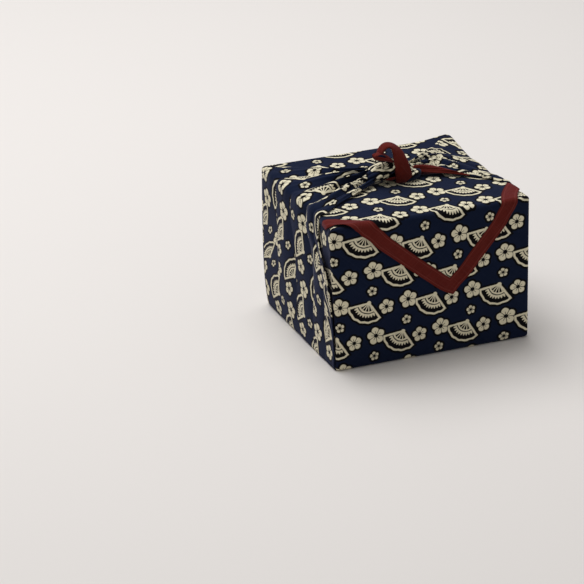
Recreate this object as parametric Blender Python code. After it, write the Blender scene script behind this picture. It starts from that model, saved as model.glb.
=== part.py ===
"""A furoshiki tied round a box: one square cloth, and the plain box that it fits.

Metres, +Z up. X runs along the front and Y from the front to the back. The origin is
under the middle of the bundle, on the surface that it stands on.

The cloth is set diagonally under the box. Its front corner lies over the top first. Its
back corner follows over that and hangs down the front as a V. The left and right corners
are folded in, drawn over the top as arms and tied in a square knot.
"""

from collections import namedtuple
from math import cos, pi, radians, sin

import bmesh
import bpy
from mathutils import Matrix, Vector

# The wrapped form, over its cloth.
LENGTH = 0.200
DEPTH = 0.176
HEIGHT = 0.149
EDGE_RADIUS = 0.006
SHEET = 0.0018
LAYER_GAP = 0.0008
SWELL = 0.0012
RIPPLE = 0.0004

# The box inside stands clear of the cloth, and its edges are rounded to stay so.
BOX_CLEARANCE = 0.002
BOX_FLOOR_GAP = 0.0003
BOX_ROUNDING = 0.002

CORE_X = LENGTH / 2 - EDGE_RADIUS
CORE_Y = DEPTH / 2 - EDGE_RADIUS
CORE_LOW = EDGE_RADIUS
CORE_HIGH = HEIGHT - EDGE_RADIUS
LAYER_STEP = SHEET + LAYER_GAP

# The belt is the run of cloth from the front corner round to the back corner.
UNDERLAYER_END_Y = 0.030
UNDERLAYER_REACH = 0.090
LOW_REACH = 0.078
RIM_TURN = radians(82)
NARROWING_Y = -0.0625
FLAP_DROP = 0.087
TIP_X = 0.021
TIP_WIDTH = 0.003
ARC_STEPS = 4
RIM_STEPS = 3
ACROSS_STEPS = 12
UNDER_STEPS = 4
FRONT_STEPS = 8
BOTTOM_STEPS = 3
BACK_STEPS = 5
OVER_STEPS = 7
NARROWING_STEPS = 4
FLAP_STEPS = 7

# A side panel is the cloth folded in under each arm.
PANEL_SINK = 0.0003
PANEL_THICKNESS = 0.0032
PANEL_MARGIN = 0.0015
PANEL_LANDING = 0.008

# An arm is fused to what it lies on by sinking this far into it.
ARM_SINK = 0.0008
ARM_ACROSS_STEPS = 20

Station = namedtuple("Station", "y z normal lift")
FlapEdge = namedtuple("FlapEdge", "past_edge left right")
ArmRow = namedtuple("ArmRow", "path front back lift")
Fold = namedtuple("Fold", "across width wall edge top knot")
Bend = namedtuple("Bend", "x y above width thick lean")

# How far the over layer reaches to each side, by the distance past the front top edge.
FLAP_EDGES = [
    FlapEdge(-0.024, -0.1026, 0.1026),
    FlapEdge(-0.018, -0.0990, 0.0960),
    FlapEdge(0.000, -0.0680, 0.0800),
    FlapEdge(0.020, -0.0455, 0.0672),
    FlapEdge(0.045, -0.0190, 0.0490),
    FlapEdge(0.070, 0.0052, 0.0318),
    FlapEdge(FLAP_DROP, TIP_X - TIP_WIDTH / 2, TIP_X + TIP_WIDTH / 2),
]

# Each arm by the way up the wall, over the top edge and in to the knot.
LEFT_ARM = [
    ArmRow(0.0000, -0.0815, 0.0812, -0.0002),
    ArmRow(0.0060, -0.0815, 0.0810, 0.0006),
    ArmRow(0.0200, -0.0815, 0.0805, 0.0014),
    ArmRow(0.0450, -0.0815, 0.0790, 0.0018),
    ArmRow(0.0700, -0.0795, 0.0780, 0.0020),
    ArmRow(0.0950, -0.0745, 0.0775, 0.0020),
    ArmRow(0.1150, -0.0665, 0.0775, 0.0022),
    ArmRow(0.1330, -0.0500, 0.0780, 0.0024),
    ArmRow(0.1550, -0.0460, 0.0780, 0.0026),
    ArmRow(0.1750, -0.0350, 0.0650, 0.0030),
    ArmRow(0.1950, -0.0230, 0.0480, 0.0036),
    ArmRow(0.2120, -0.0130, 0.0330, 0.0048),
    ArmRow(0.2260, -0.0070, 0.0230, 0.0066),
    ArmRow(0.2400, -0.0040, 0.0170, 0.0080),
]
RIGHT_ARM = [
    ArmRow(0.0000, -0.0812, 0.0812, -0.0002),
    ArmRow(0.0060, -0.0810, 0.0810, 0.0006),
    ArmRow(0.0200, -0.0790, 0.0805, 0.0014),
    ArmRow(0.0450, -0.0735, 0.0795, 0.0018),
    ArmRow(0.0700, -0.0660, 0.0790, 0.0020),
    ArmRow(0.0950, -0.0575, 0.0785, 0.0020),
    ArmRow(0.1200, -0.0500, 0.0790, 0.0022),
    ArmRow(0.1400, -0.0455, 0.0800, 0.0024),
    ArmRow(0.1550, -0.0420, 0.0790, 0.0028),
    ArmRow(0.1750, -0.0330, 0.0640, 0.0034),
    ArmRow(0.1950, -0.0225, 0.0470, 0.0042),
    ArmRow(0.2120, -0.0125, 0.0320, 0.0054),
    ArmRow(0.2240, -0.0050, 0.0220, 0.0066),
    ArmRow(0.2380, -0.0010, 0.0160, 0.0080),
]

# Heights of each fold on the wall, at the top edge, on the top and at the knot.
LEFT_FOLDS = [
    Fold(0.07, 0.055, 0.0006, 0.0014, 0.0034, 0.0030),
    Fold(0.22, 0.060, 0.0003, 0.0009, 0.0020, 0.0022),
    Fold(0.34, 0.040, -0.0004, -0.0012, -0.0016, -0.0024),
    Fold(0.46, 0.055, 0.0004, 0.0014, 0.0030, 0.0034),
    Fold(0.60, 0.040, -0.0002, -0.0008, -0.0012, -0.0018),
    Fold(0.72, 0.055, 0.0003, 0.0010, 0.0022, 0.0026),
    Fold(0.90, 0.060, 0.0002, 0.0008, 0.0014, 0.0014),
]
RIGHT_FOLDS = [
    Fold(0.07, 0.060, 0.0006, 0.0022, 0.0030, 0.0026),
    Fold(0.22, 0.045, -0.0002, -0.0008, -0.0014, -0.0020),
    Fold(0.38, 0.060, 0.0004, 0.0022, 0.0034, 0.0036),
    Fold(0.55, 0.045, -0.0003, -0.0010, -0.0016, -0.0022),
    Fold(0.74, 0.060, 0.0004, 0.0022, 0.0026, 0.0026),
    Fold(0.92, 0.050, 0.0002, 0.0006, 0.0010, 0.0010),
]

# The knot's pieces, each a run of cross-sections; above is the height over the top.
KNOT_BODY = [
    Bend(-0.0240, 0.0080, 0.0050, 0.0200, 0.0100, 0),
    Bend(-0.0140, 0.0060, 0.0090, 0.0240, 0.0170, 0),
    Bend(-0.0040, 0.0040, 0.0115, 0.0270, 0.0225, 0),
    Bend(0.0060, 0.0040, 0.0120, 0.0280, 0.0230, 0),
    Bend(0.0150, 0.0060, 0.0095, 0.0250, 0.0175, 0),
    Bend(0.0240, 0.0080, 0.0055, 0.0200, 0.0100, 0),
]
KNOT_WRAP = [
    Bend(-0.0130, -0.0120, 0.0020, 0.0120, 0.0070, 20),
    Bend(-0.0110, -0.0125, 0.0100, 0.0150, 0.0080, 20),
    Bend(-0.0080, -0.0060, 0.0190, 0.0160, 0.0080, 20),
    Bend(-0.0050, 0.0040, 0.0220, 0.0150, 0.0080, 20),
    Bend(-0.0020, 0.0130, 0.0160, 0.0120, 0.0070, 20),
]
FRONT_END = [
    Bend(0.0045, -0.0115, 0.0010, 0.0165, 0.0050, 0),
    Bend(0.0042, -0.0140, 0.0100, 0.0175, 0.0055, 0),
    Bend(0.0025, -0.0110, 0.0205, 0.0165, 0.0055, 4),
    Bend(0.0000, -0.0035, 0.0300, 0.0145, 0.0050, 8),
    Bend(-0.0035, 0.0050, 0.0345, 0.0130, 0.0050, 14),
    Bend(-0.0085, 0.0110, 0.0325, 0.0125, 0.0055, 24),
    Bend(-0.0125, 0.0115, 0.0275, 0.0135, 0.0070, 34),
    Bend(-0.0135, 0.0080, 0.0225, 0.0140, 0.0080, 40),
]
BACK_END = [
    Bend(0.0040, 0.0060, 0.0150, 0.0130, 0.0065, 0),
    Bend(0.0080, 0.0150, 0.0150, 0.0150, 0.0065, 6),
    Bend(0.0115, 0.0240, 0.0110, 0.0160, 0.0060, 10),
    Bend(0.0130, 0.0320, 0.0065, 0.0150, 0.0055, 10),
    Bend(0.0135, 0.0380, 0.0035, 0.0100, 0.0045, 6),
]
SECTION_SIDES = 12
BEND_STEPS = 2


def clear_scene():
    """Removes whatever the scene holds."""
    for thing in list(bpy.data.objects):
        bpy.data.objects.remove(thing, do_unlink=True)


def principled(name, colour, roughness):
    """Makes a plain Principled material."""
    material = bpy.data.materials.new(name)
    material.use_nodes = True
    shader = material.node_tree.nodes["Principled BSDF"]
    shader.inputs["Base Color"].default_value = (*colour, 1)
    shader.inputs["Roughness"].default_value = roughness
    shader.inputs["Metallic"].default_value = 0
    return material


def mix(low, high, share):
    """The value at this share of the way from low to high."""
    return low + (high - low) * share


def eased(share):
    """A share with a soft start and end."""
    share = min(max(share, 0), 1)
    return share * share * (3 - 2 * share)


def read_table(rows, at):
    """The row at a value of the table's first column, between the rows beside it."""
    at = min(max(at, rows[0][0]), rows[-1][0])
    for before, after in zip(rows, rows[1:]):
        if at <= after[0]:
            share = (at - before[0]) / (after[0] - before[0])
            return type(before)(*(mix(a, b, share) for a, b in zip(before, after)))
    return rows[-1]


def spaced(start, end, steps):
    """Values from start to end, both included."""
    return [mix(start, end, i / steps) for i in range(steps + 1)]


def belly(distance, reach):
    """One in the middle of a face and nought at its edges."""
    return max(0, 1 - (distance / reach) ** 2)


def swell(point, normal):
    """How far the cloth stands out from the plain form, as it does between edges."""
    across = belly(point.x, LENGTH / 2)
    deep = belly(point.y, DEPTH / 2)
    up = belly(point.z - HEIGHT / 2, HEIGHT / 2)
    wave = 1 + sin(61 * point.x + 1.1) * cos(53 * (point.y + point.z)) * RIPPLE / SWELL
    front = normal.y**2 * across * up
    side = normal.x**2 * deep * up
    top = max(normal.z, 0) ** 2 * across * deep
    return SWELL * wave * (front + side + top)


def shifted(core, normal, offset):
    """The point on the rounded form's skin over a core point, moved out by offset."""
    skin = core + normal * EDGE_RADIUS
    return skin + normal * (offset + swell(skin, normal))


def add_mesh(name, points, faces, material):
    """Makes an object from points and faces, and turns its faces out."""
    made = bmesh.new()
    verts = [made.verts.new(point) for point in points]
    for face in faces:
        made.faces.new([verts[i] for i in face])
    bmesh.ops.recalc_face_normals(made, faces=made.faces)
    mesh = bpy.data.meshes.new(name)
    made.to_mesh(mesh)
    made.free()
    mesh.materials.append(material)
    mesh.shade_smooth()
    mesh.set_sharp_from_angle(angle=radians(40))
    thing = bpy.data.objects.new(name, mesh)
    bpy.context.collection.objects.link(thing)
    return thing


def closed_sheet(name, outer, inner, material):
    """Joins two grids of the same size into one closed sheet."""
    rows, columns = len(outer), len(outer[0])
    points = [point for grid in (outer, inner) for row in grid for point in row]

    def at(side, row, column):
        return side * rows * columns + row * columns + column

    faces = []
    for row in range(rows - 1):
        for column in range(columns - 1):
            ring = [(row, column), (row, column + 1), (row + 1, column + 1), (row + 1, column)]
            faces.append([at(0, *corner) for corner in ring])
            faces.append([at(1, *corner) for corner in reversed(ring)])
    border = [(0, column) for column in range(columns)]
    border += [(row, columns - 1) for row in range(1, rows)]
    border += [(rows - 1, column) for column in reversed(range(columns - 1))]
    border += [(row, 0) for row in reversed(range(1, rows - 1))]
    for here, there in zip(border, border[1:] + border[:1]):
        faces.append([at(0, *there), at(0, *here), at(1, *here), at(1, *there)])
    return add_mesh(name, points, faces, material)


def turn(y, z, start, lift_start, lift_end):
    """Stations round one edge of the belt, a quarter turn on from a normal in degrees."""
    for i in range(1, ARC_STEPS):
        share = i / ARC_STEPS
        angle = radians(start + 90 * share)
        yield Station(y, z, angle, mix(lift_start, lift_end, share))


def run(start, end, steps, normal, lift):
    """Stations along one flat face of the belt, given as y and z pairs."""
    for share in spaced(0, 1, steps):
        y = mix(start[0], end[0], share)
        z = mix(start[1], end[1], share)
        yield Station(y, z, radians(normal), lift)


def base_stations():
    """The belt's path as far as the top of its back: underlayer, front, bottom, back."""
    front, back, low, high = -CORE_Y, CORE_Y, CORE_LOW, CORE_HIGH
    yield from run((UNDERLAYER_END_Y, high), (front, high), UNDER_STEPS, 90, -LAYER_STEP)
    yield from turn(front, high, 90, -LAYER_STEP, 0)
    yield from run((front, high), (front, low), FRONT_STEPS, 180, 0)
    yield from turn(front, low, 180, 0, 0)
    yield from run((front, low), (back, low), BOTTOM_STEPS, 270, 0)
    yield from turn(back, low, 270, 0, 0)
    yield from run((back, low), (back, high), BACK_STEPS, 360, 0)
    yield from turn(back, high, 0, 0, 0)


def over_stations():
    """The rest of the belt's path: the over layer and the flap."""
    front, back, high = -CORE_Y, CORE_Y, CORE_HIGH
    tip = high + EDGE_RADIUS * pi / 4 - FLAP_DROP
    yield from run((back, high), (NARROWING_Y, high), OVER_STEPS, 90, 0)
    yield from list(run((NARROWING_Y, high), (front, high), NARROWING_STEPS, 90, 0))[1:]
    yield from turn(front, high, 90, 0, LAYER_STEP)
    yield from run((front, high), (front, tip), FLAP_STEPS, 180, LAYER_STEP)


def past_front_edge(station):
    """Distance of an over-layer station past the middle of the front top edge."""
    half_turn = EDGE_RADIUS * pi / 4
    if station.z < CORE_HIGH:
        return half_turn + CORE_HIGH - station.z
    if station.y > -CORE_Y:
        return -half_turn - (station.y + CORE_Y)
    return EDGE_RADIUS * (station.normal - radians(135))


def belt_point(station, across, depth):
    """A point of the belt, at a distance across it and a depth under its outer face."""
    reach = min(max(across, -CORE_X), CORE_X)
    tilt = (across - reach) / EDGE_RADIUS
    flat = Vector((0, cos(station.normal), sin(station.normal)))
    normal = (flat * cos(tilt) + Vector((sin(tilt), 0, 0))).normalized()
    core = Vector((reach, station.y, station.z))
    lift = station.lift
    if -LAYER_STEP < lift < 0:
        lift *= 1 - eased((abs(reach) - LOW_REACH) / (CORE_X - LOW_REACH))
    return shifted(core, normal, lift - depth)


def belt(material):
    """The belt: one run of cloth round the box and over itself."""
    rim = CORE_X + EDGE_RADIUS * RIM_TURN
    spans = []
    for station in base_stations():
        on_top = station.lift == -LAYER_STEP
        reach = UNDERLAYER_REACH if on_top else rim
        spans.append((station, -reach, reach))
    for station in over_stations():
        edge = read_table(FLAP_EDGES, past_front_edge(station))
        spans.append((station, max(edge.left, -rim), min(edge.right, rim)))
    outer, inner = [], []
    for station, left, right in spans:
        across = belt_columns(left, right)
        outer.append([belt_point(station, x, 0) for x in across])
        inner.append([belt_point(station, x, SHEET) for x in across])
    return closed_sheet("belt", outer, inner, material)


def belt_columns(left, right):
    """Where the belt's columns lie: close round the rims, even between them."""
    low, high = max(left, -CORE_X), min(right, CORE_X)
    if left >= -CORE_X:
        low = mix(left, right, 0.06)
    if right <= CORE_X:
        high = mix(left, right, 0.94)
    rim_left = spaced(left, low, RIM_STEPS)
    rim_right = spaced(high, right, RIM_STEPS)
    return rim_left[:-1] + spaced(low, high, ACROSS_STEPS) + rim_right[1:]


def arm_frame(side, path):
    """The core point and the normal at a distance along an arm's path."""
    edge_start = CORE_HIGH
    edge_end = edge_start + EDGE_RADIUS * pi / 2
    if path < CORE_LOW:
        angle = -(CORE_LOW - path) / EDGE_RADIUS
        return Vector((side * CORE_X, 0, CORE_LOW)), Vector((side * cos(angle), 0, sin(angle)))
    if path < edge_start:
        return Vector((side * CORE_X, 0, path)), Vector((side, 0, 0))
    if path < edge_end:
        angle = (path - edge_start) / EDGE_RADIUS
        return Vector((side * CORE_X, 0, CORE_HIGH)), Vector((side * cos(angle), 0, sin(angle)))
    inward = path - edge_end
    return Vector((side * (CORE_X - inward), 0, CORE_HIGH)), Vector((0, 0, 1))


def panel(name, side, material):
    """The cloth folded in on one side of the box, up to just over its top edge."""
    top = CORE_HIGH + EDGE_RADIUS * pi / 2
    paths = spaced(CORE_LOW - PANEL_MARGIN, CORE_HIGH, 5)
    paths += spaced(CORE_HIGH, top, 4)[1:] + [top + PANEL_LANDING]
    outer, inner = [], []
    for path in paths:
        core, normal = arm_frame(side, max(path, CORE_LOW))
        core.z += min(path - CORE_LOW, 0)
        row_outer, row_inner = [], []
        for y in spaced(-CORE_Y - PANEL_MARGIN, CORE_Y + PANEL_MARGIN, 6):
            here = core + Vector((0, y, 0))
            row_outer.append(shifted(here, normal, -PANEL_SINK))
            row_inner.append(shifted(here, normal, -PANEL_SINK - PANEL_THICKNESS))
        outer.append(row_outer)
        inner.append(row_inner)
    return closed_sheet(name, outer, inner, material)


def fold_height(fold, path):
    """How high a fold stands at a distance along its arm."""
    knot = 0.232
    if path < CORE_HIGH:
        return mix(fold.wall, fold.edge, eased((path - 0.05) / (CORE_HIGH - 0.05)))
    middle = mix(CORE_HIGH, knot, 0.5)
    if path < middle:
        return mix(fold.edge, fold.top, (path - CORE_HIGH) / (middle - CORE_HIGH))
    return mix(fold.top, fold.knot, (path - middle) / (knot - middle))


def arm_offset(row, folds, share):
    """How far an arm stands over the form, at a share of the way across it."""
    height = row.lift
    for fold in folds:
        height += fold_height(fold, row.path) * belly(share - fold.across, 2 * fold.width) ** 2
    lip = min(share, 1 - share) / 0.03
    return mix(-ARM_SINK / 2, height, min(1, lip) ** 0.5)


def arm(name, side, table, folds, material):
    """One arm: up the wall, over the top edge, and gathered in to the knot."""
    paths = [row.path for row in table]
    paths += spaced(0, CORE_LOW, 3) + spaced(CORE_HIGH, CORE_HIGH + EDGE_RADIUS * pi / 2, 4)
    shares = [0, 0.012, 0.03] + spaced(0.03, 0.97, ARM_ACROSS_STEPS)[1:-1] + [0.97, 0.988, 1]
    outer, inner = [], []
    for path in sorted(set(paths)):
        row = read_table(table, path)
        core, normal = arm_frame(side, path)
        row_outer, row_inner = [], []
        for share in shares:
            here = core + Vector((0, mix(row.front, row.back, share), 0))
            row_outer.append(shifted(here, normal, arm_offset(row, folds, share)))
            row_inner.append(shifted(here, normal, -ARM_SINK))
        outer.append(row_outer)
        inner.append(row_inner)
    return closed_sheet(name, outer, inner, material)


def smooth_bends(bends):
    """The bends with more between them, on a smooth curve through them all."""
    padded = [bends[0]] + list(bends) + [bends[-1]]
    made = []
    for a, b, c, d in zip(padded, padded[1:], padded[2:], padded[3:]):
        for i in range(BEND_STEPS):
            t = i / BEND_STEPS
            made.append(Bend(*(catmull_rom(*four, t) for four in zip(a, b, c, d))))
    made.append(bends[-1])
    return made


def catmull_rom(a, b, c, d, t):
    """The curve through b and c, at a share t of the way between them."""
    slope_b, slope_c = (c - a) / 2, (d - b) / 2
    square, cube = t * t, t * t * t
    return (
        (2 * cube - 3 * square + 1) * b
        + (cube - 2 * square + t) * slope_b
        + (3 * square - 2 * cube) * c
        + (cube - square) * slope_c
    )


def bent_strip(name, bends, material, side_axis):
    """A closed strip with a rounded section, bent along its path."""
    rows = smooth_bends(bends)
    centres = [Vector((row.x, row.y, HEIGHT + row.above)) for row in rows]
    rings = []
    for i, (row, centre) in enumerate(zip(rows, centres)):
        ahead = centres[min(i + 1, len(rows) - 1)] - centres[max(i - 1, 0)]
        ahead.normalize()
        wide = side_axis - ahead * side_axis.dot(ahead)
        wide.normalize()
        thick = ahead.cross(wide)
        lean = radians(row.lean)
        wide, thick = wide * cos(lean) + thick * sin(lean), thick * cos(lean) - wide * sin(lean)
        share = min(i, len(rows) - 1 - i)
        end = 0.55 if share == 0 else 1
        ring = []
        for k in range(SECTION_SIDES):
            angle = 2 * pi * k / SECTION_SIDES
            spot = wide * cos(angle) * row.width / 2 + thick * sin(angle) * row.thick / 2
            ring.append(centre + spot * end)
        rings.append(ring)
    return ring_mesh(name, rings, material)


def ring_mesh(name, rings, material):
    """A closed mesh through rings of the same count, capped at both ends."""
    sides = len(rings[0])
    points = [point for ring in rings for point in ring]
    faces = [list(range(sides)), list(range(len(points) - sides, len(points)))]
    for row in range(len(rings) - 1):
        for k in range(sides):
            here, there = row * sides + k, row * sides + (k + 1) % sides
            faces.append([here, there, there + sides, here + sides])
    return add_mesh(name, points, faces, material)


def join_into(whole, pieces):
    """Fuses the pieces into the whole with one Boolean, and keeps them as guides."""
    guides = bpy.data.collections.new("cloth_guides")
    bpy.context.scene.collection.children.link(guides)
    for piece in pieces:
        guides.objects.link(piece)
        bpy.context.collection.objects.unlink(piece)
        piece.hide_render = True
        piece.display_type = "WIRE"
    union = whole.modifiers.new("fused", "BOOLEAN")
    union.operation = "UNION"
    union.solver = "EXACT"
    union.operand_type = "COLLECTION"
    union.collection = guides


def make_cloth():
    """The whole cloth: belt, panels, arms and knot, fused into one body."""
    indigo = principled("indigo_cotton", (0.018, 0.030, 0.085), 0.85)
    cloth = belt(indigo)
    pieces = [panel("left_panel", -1, indigo), panel("right_panel", 1, indigo)]
    pieces.append(arm("left_arm", -1, LEFT_ARM, LEFT_FOLDS, indigo))
    pieces.append(arm("right_arm", 1, RIGHT_ARM, RIGHT_FOLDS, indigo))
    pieces.append(bent_strip("knot_body", KNOT_BODY, indigo, Vector((0, 1, 0))))
    pieces.append(bent_strip("knot_wrap", KNOT_WRAP, indigo, Vector((1, 0, 0))))
    pieces.append(bent_strip("front_end", FRONT_END, indigo, Vector((1, 0, 0))))
    pieces.append(bent_strip("back_end", BACK_END, indigo, Vector((1, 0, 0))))
    join_into(cloth, pieces)
    cloth.name = "furoshiki_cloth"
    return [cloth, *pieces]


def make_box():
    """The plain box that the cloth fits, with its edges rounded."""
    card = principled("paperboard", (0.420, 0.330, 0.220), 0.80)
    low = SHEET + BOX_FLOOR_GAP
    high = HEIGHT - LAYER_STEP - SHEET - BOX_CLEARANCE
    wide = LENGTH - 2 * (PANEL_SINK + PANEL_THICKNESS + BOX_CLEARANCE)
    deep = DEPTH - 2 * (SHEET + BOX_CLEARANCE)
    made = bmesh.new()
    bmesh.ops.create_cube(made, size=1, matrix=Matrix.Diagonal((wide, deep, high - low, 1)))
    mesh = bpy.data.meshes.new("box")
    made.to_mesh(mesh)
    made.free()
    mesh.materials.append(card)
    box = bpy.data.objects.new("box", mesh)
    box.location.z = (low + high) / 2
    bpy.context.collection.objects.link(box)
    rounding = box.modifiers.new("edges", "BEVEL")
    rounding.width = BOX_ROUNDING
    rounding.segments = 3
    return box


def centre_on_origin(cloth, things):
    """Puts the origin under the middle of the bundle, by an empty that carries it all."""
    bpy.context.view_layer.update()
    whole = cloth.evaluated_get(bpy.context.evaluated_depsgraph_get())
    corners = [Vector(corner) for corner in whole.bound_box]
    middle = sum(corners, Vector()) / len(corners)
    bundle = bpy.data.objects.new("bundle", None)
    bpy.context.collection.objects.link(bundle)
    bundle.location = (-middle.x, -middle.y, 0)
    for thing in things:
        thing.parent = bundle


def main():
    """Builds the wrap."""
    clear_scene()
    cloth_parts = make_cloth()
    box = make_box()
    centre_on_origin(cloth_parts[0], [*cloth_parts, box])


if __name__ == "__main__":
    main()
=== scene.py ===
"""The look of the furoshiki wrap: printed cotton folded round a box, its borders and its knot."""

from __future__ import annotations

import logging
from dataclasses import dataclass
from enum import Enum
from math import cos, exp, hypot, pi, radians, sin, sqrt
from typing import Iterable, NamedTuple

import bmesh
import bpy
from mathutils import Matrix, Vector, noise


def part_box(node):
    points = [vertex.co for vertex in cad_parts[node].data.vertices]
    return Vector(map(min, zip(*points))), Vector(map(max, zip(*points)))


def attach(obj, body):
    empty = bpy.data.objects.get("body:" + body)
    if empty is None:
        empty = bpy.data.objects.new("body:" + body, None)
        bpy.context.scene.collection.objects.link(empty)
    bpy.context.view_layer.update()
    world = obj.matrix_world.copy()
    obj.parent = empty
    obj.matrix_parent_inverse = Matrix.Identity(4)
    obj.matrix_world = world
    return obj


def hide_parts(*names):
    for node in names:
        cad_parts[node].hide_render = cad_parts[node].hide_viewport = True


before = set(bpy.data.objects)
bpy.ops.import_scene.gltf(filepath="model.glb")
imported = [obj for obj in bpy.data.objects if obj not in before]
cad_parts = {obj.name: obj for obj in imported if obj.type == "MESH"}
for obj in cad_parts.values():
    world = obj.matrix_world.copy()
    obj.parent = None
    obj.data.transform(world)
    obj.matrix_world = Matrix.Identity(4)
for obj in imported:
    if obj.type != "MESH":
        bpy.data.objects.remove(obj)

LOG = logging.getLogger("furoshiki")

SHEET = 0.0005
FAR_FROM_EDGE = 1.0
IN_BORDER = 0.007
MERGE_DISTANCE = 1e-6
TENTHS_IN_METRE = 10_000


def mix(low: float, high: float, share: float) -> float:
    """The value at this share of the way from low to high."""
    return low + (high - low) * share


def clamped(value: float, low: float = 0.0, high: float = 1.0) -> float:
    """The value, kept between low and high."""
    return min(max(value, low), high)


def eased(share: float) -> float:
    """A share with a soft start and end."""
    share = clamped(share)
    return share * share * (3 - 2 * share)


def ramp(value: float, start: float, width: float) -> float:
    """Nought up to a start and one a width past it, with a soft rise between."""
    return eased((value - start) / width)


def bell(distance: float, radius: float, power: int = 2) -> float:
    """One at no distance, falling off round a radius, the more steeply the higher the power."""
    return exp(-((distance / radius) ** power))


def spaced(start: float, end: float, steps: int) -> list[float]:
    """Values from start to end, both included."""
    return [mix(start, end, i / steps) for i in range(steps + 1)]


def stepped(start: float, end: float, pitch: float) -> list[float]:
    """Values from start to end, both included, about a pitch apart."""
    return spaced(start, end, max(1, round(abs(end - start) / pitch)))


def hermite(start: float, end: float, slope_start: float, slope_end: float, t: float) -> float:
    """The cubic between two values with a slope at each.

    Args:
        start: The value at the start.
        end: The value at the end.
        slope_start: The slope at the start.
        slope_end: The slope at the end.
        t: The share of the way from start to end.

    Returns:
        The value there.
    """
    square, cube = t * t, t * t * t
    return (
        (2 * cube - 3 * square + 1) * start
        + (cube - 2 * square + t) * slope_start
        + (3 * square - 2 * cube) * end
        + (cube - square) * slope_end
    )


def smooth_table(rows: list, at: float) -> tuple:
    """Reads a table between its rows on a smooth curve.

    Args:
        rows: Named tuples, in order of their first column.
        at: The value of the first column to read at.

    Returns:
        A row of the same kind.
    """
    at = clamped(at, rows[0][0], rows[-1][0])
    index = 0
    while index < len(rows) - 2 and at > rows[index + 1][0]:
        index += 1
    before, after = rows[index], rows[index + 1]
    first, last = rows[max(index - 1, 0)], rows[min(index + 2, len(rows) - 1)]
    width = after[0] - before[0]
    values = []
    for a, b, c, d in zip(first, before, after, last):
        slope_b = (c - a) / (after[0] - first[0]) * width
        slope_c = (d - b) / (last[0] - before[0]) * width
        values.append(hermite(b, c, slope_b, slope_c, (at - before[0]) / width))
    values[0] = at
    return type(before)(*values)


def metres(lengths: tuple) -> list[float]:
    """Lengths that are given in tenths of a millimetre."""
    return [length / TENTHS_IN_METRE for length in lengths]


def rows_of(kind: type, *lengths: tuple, degrees: tuple = ()) -> list:
    """Named rows made from whole columns of lengths, and then of degrees."""
    return [kind(*row) for row in zip(*map(metres, lengths), *degrees)]


def tables_of(kind: type, paths: tuple, *pairs: tuple) -> list[list]:
    """Tables of pleats, made from the ways along an arm and pairs of shares and heights."""
    pleats = zip(pairs[::2], map(metres, pairs[1::2]))
    return [[kind(*row) for row in zip(metres(paths), *pleat)] for pleat in pleats]


def on_bias(along_x: float, along_y: float) -> tuple[float, float]:
    """Turns places measured along the box to places along the threads."""
    return ((along_x + along_y) / sqrt(2), (along_y - along_x) / sqrt(2))


def toned(colour: tuple, gain: float) -> tuple:
    """A colour made lighter or darker."""
    return tuple(part * gain for part in colour)


class Side(Enum):
    """The two sides that the arms come up."""

    LEFT = -1
    RIGHT = 1


class Station(NamedTuple):
    """A line across the belt: its core point, the way its normal faces, and its place."""

    y: float
    z: float
    normal: float
    lift: float
    run: float


class Leg(NamedTuple):
    """A flat run of the belt's path: its ends as y and z, and how it lies there."""

    start: tuple[float, float]
    end: tuple[float, float]
    pitch: float
    facing: float
    lift: float
    next_lift: float | None = 0.0


class FlapEdge(NamedTuple):
    """How far the over layer reaches, by the distance past the front top edge."""

    past_edge: float
    left: float
    right: float


class ArmRow(NamedTuple):
    """Where an arm's front and back lie and how high it stands, by the way along it."""

    path: float
    front: float
    back: float
    lift: float


class Valley(NamedTuple):
    """Where a valley between two pleats lies across an arm, and its height there."""

    path: float
    across: float
    height: float


class Crest(NamedTuple):
    """Where a pleat's crest lies between its valleys, and its height there."""

    path: float
    between: float
    height: float


class Bend(NamedTuple):
    """A cross-section of a knotted end: its middle, its size, and how it is turned in degrees."""

    x: float
    y: float
    above: float
    width: float
    thick: float
    turn: float
    lean: float


class Spot(NamedTuple):
    """A point of the cloth, its place on the flat cloth, and its distances from the cut edges."""

    point: Vector
    cloth: tuple[float, float]
    edges: tuple[float, float] = (FAR_FROM_EDGE, FAR_FROM_EDGE)


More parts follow.
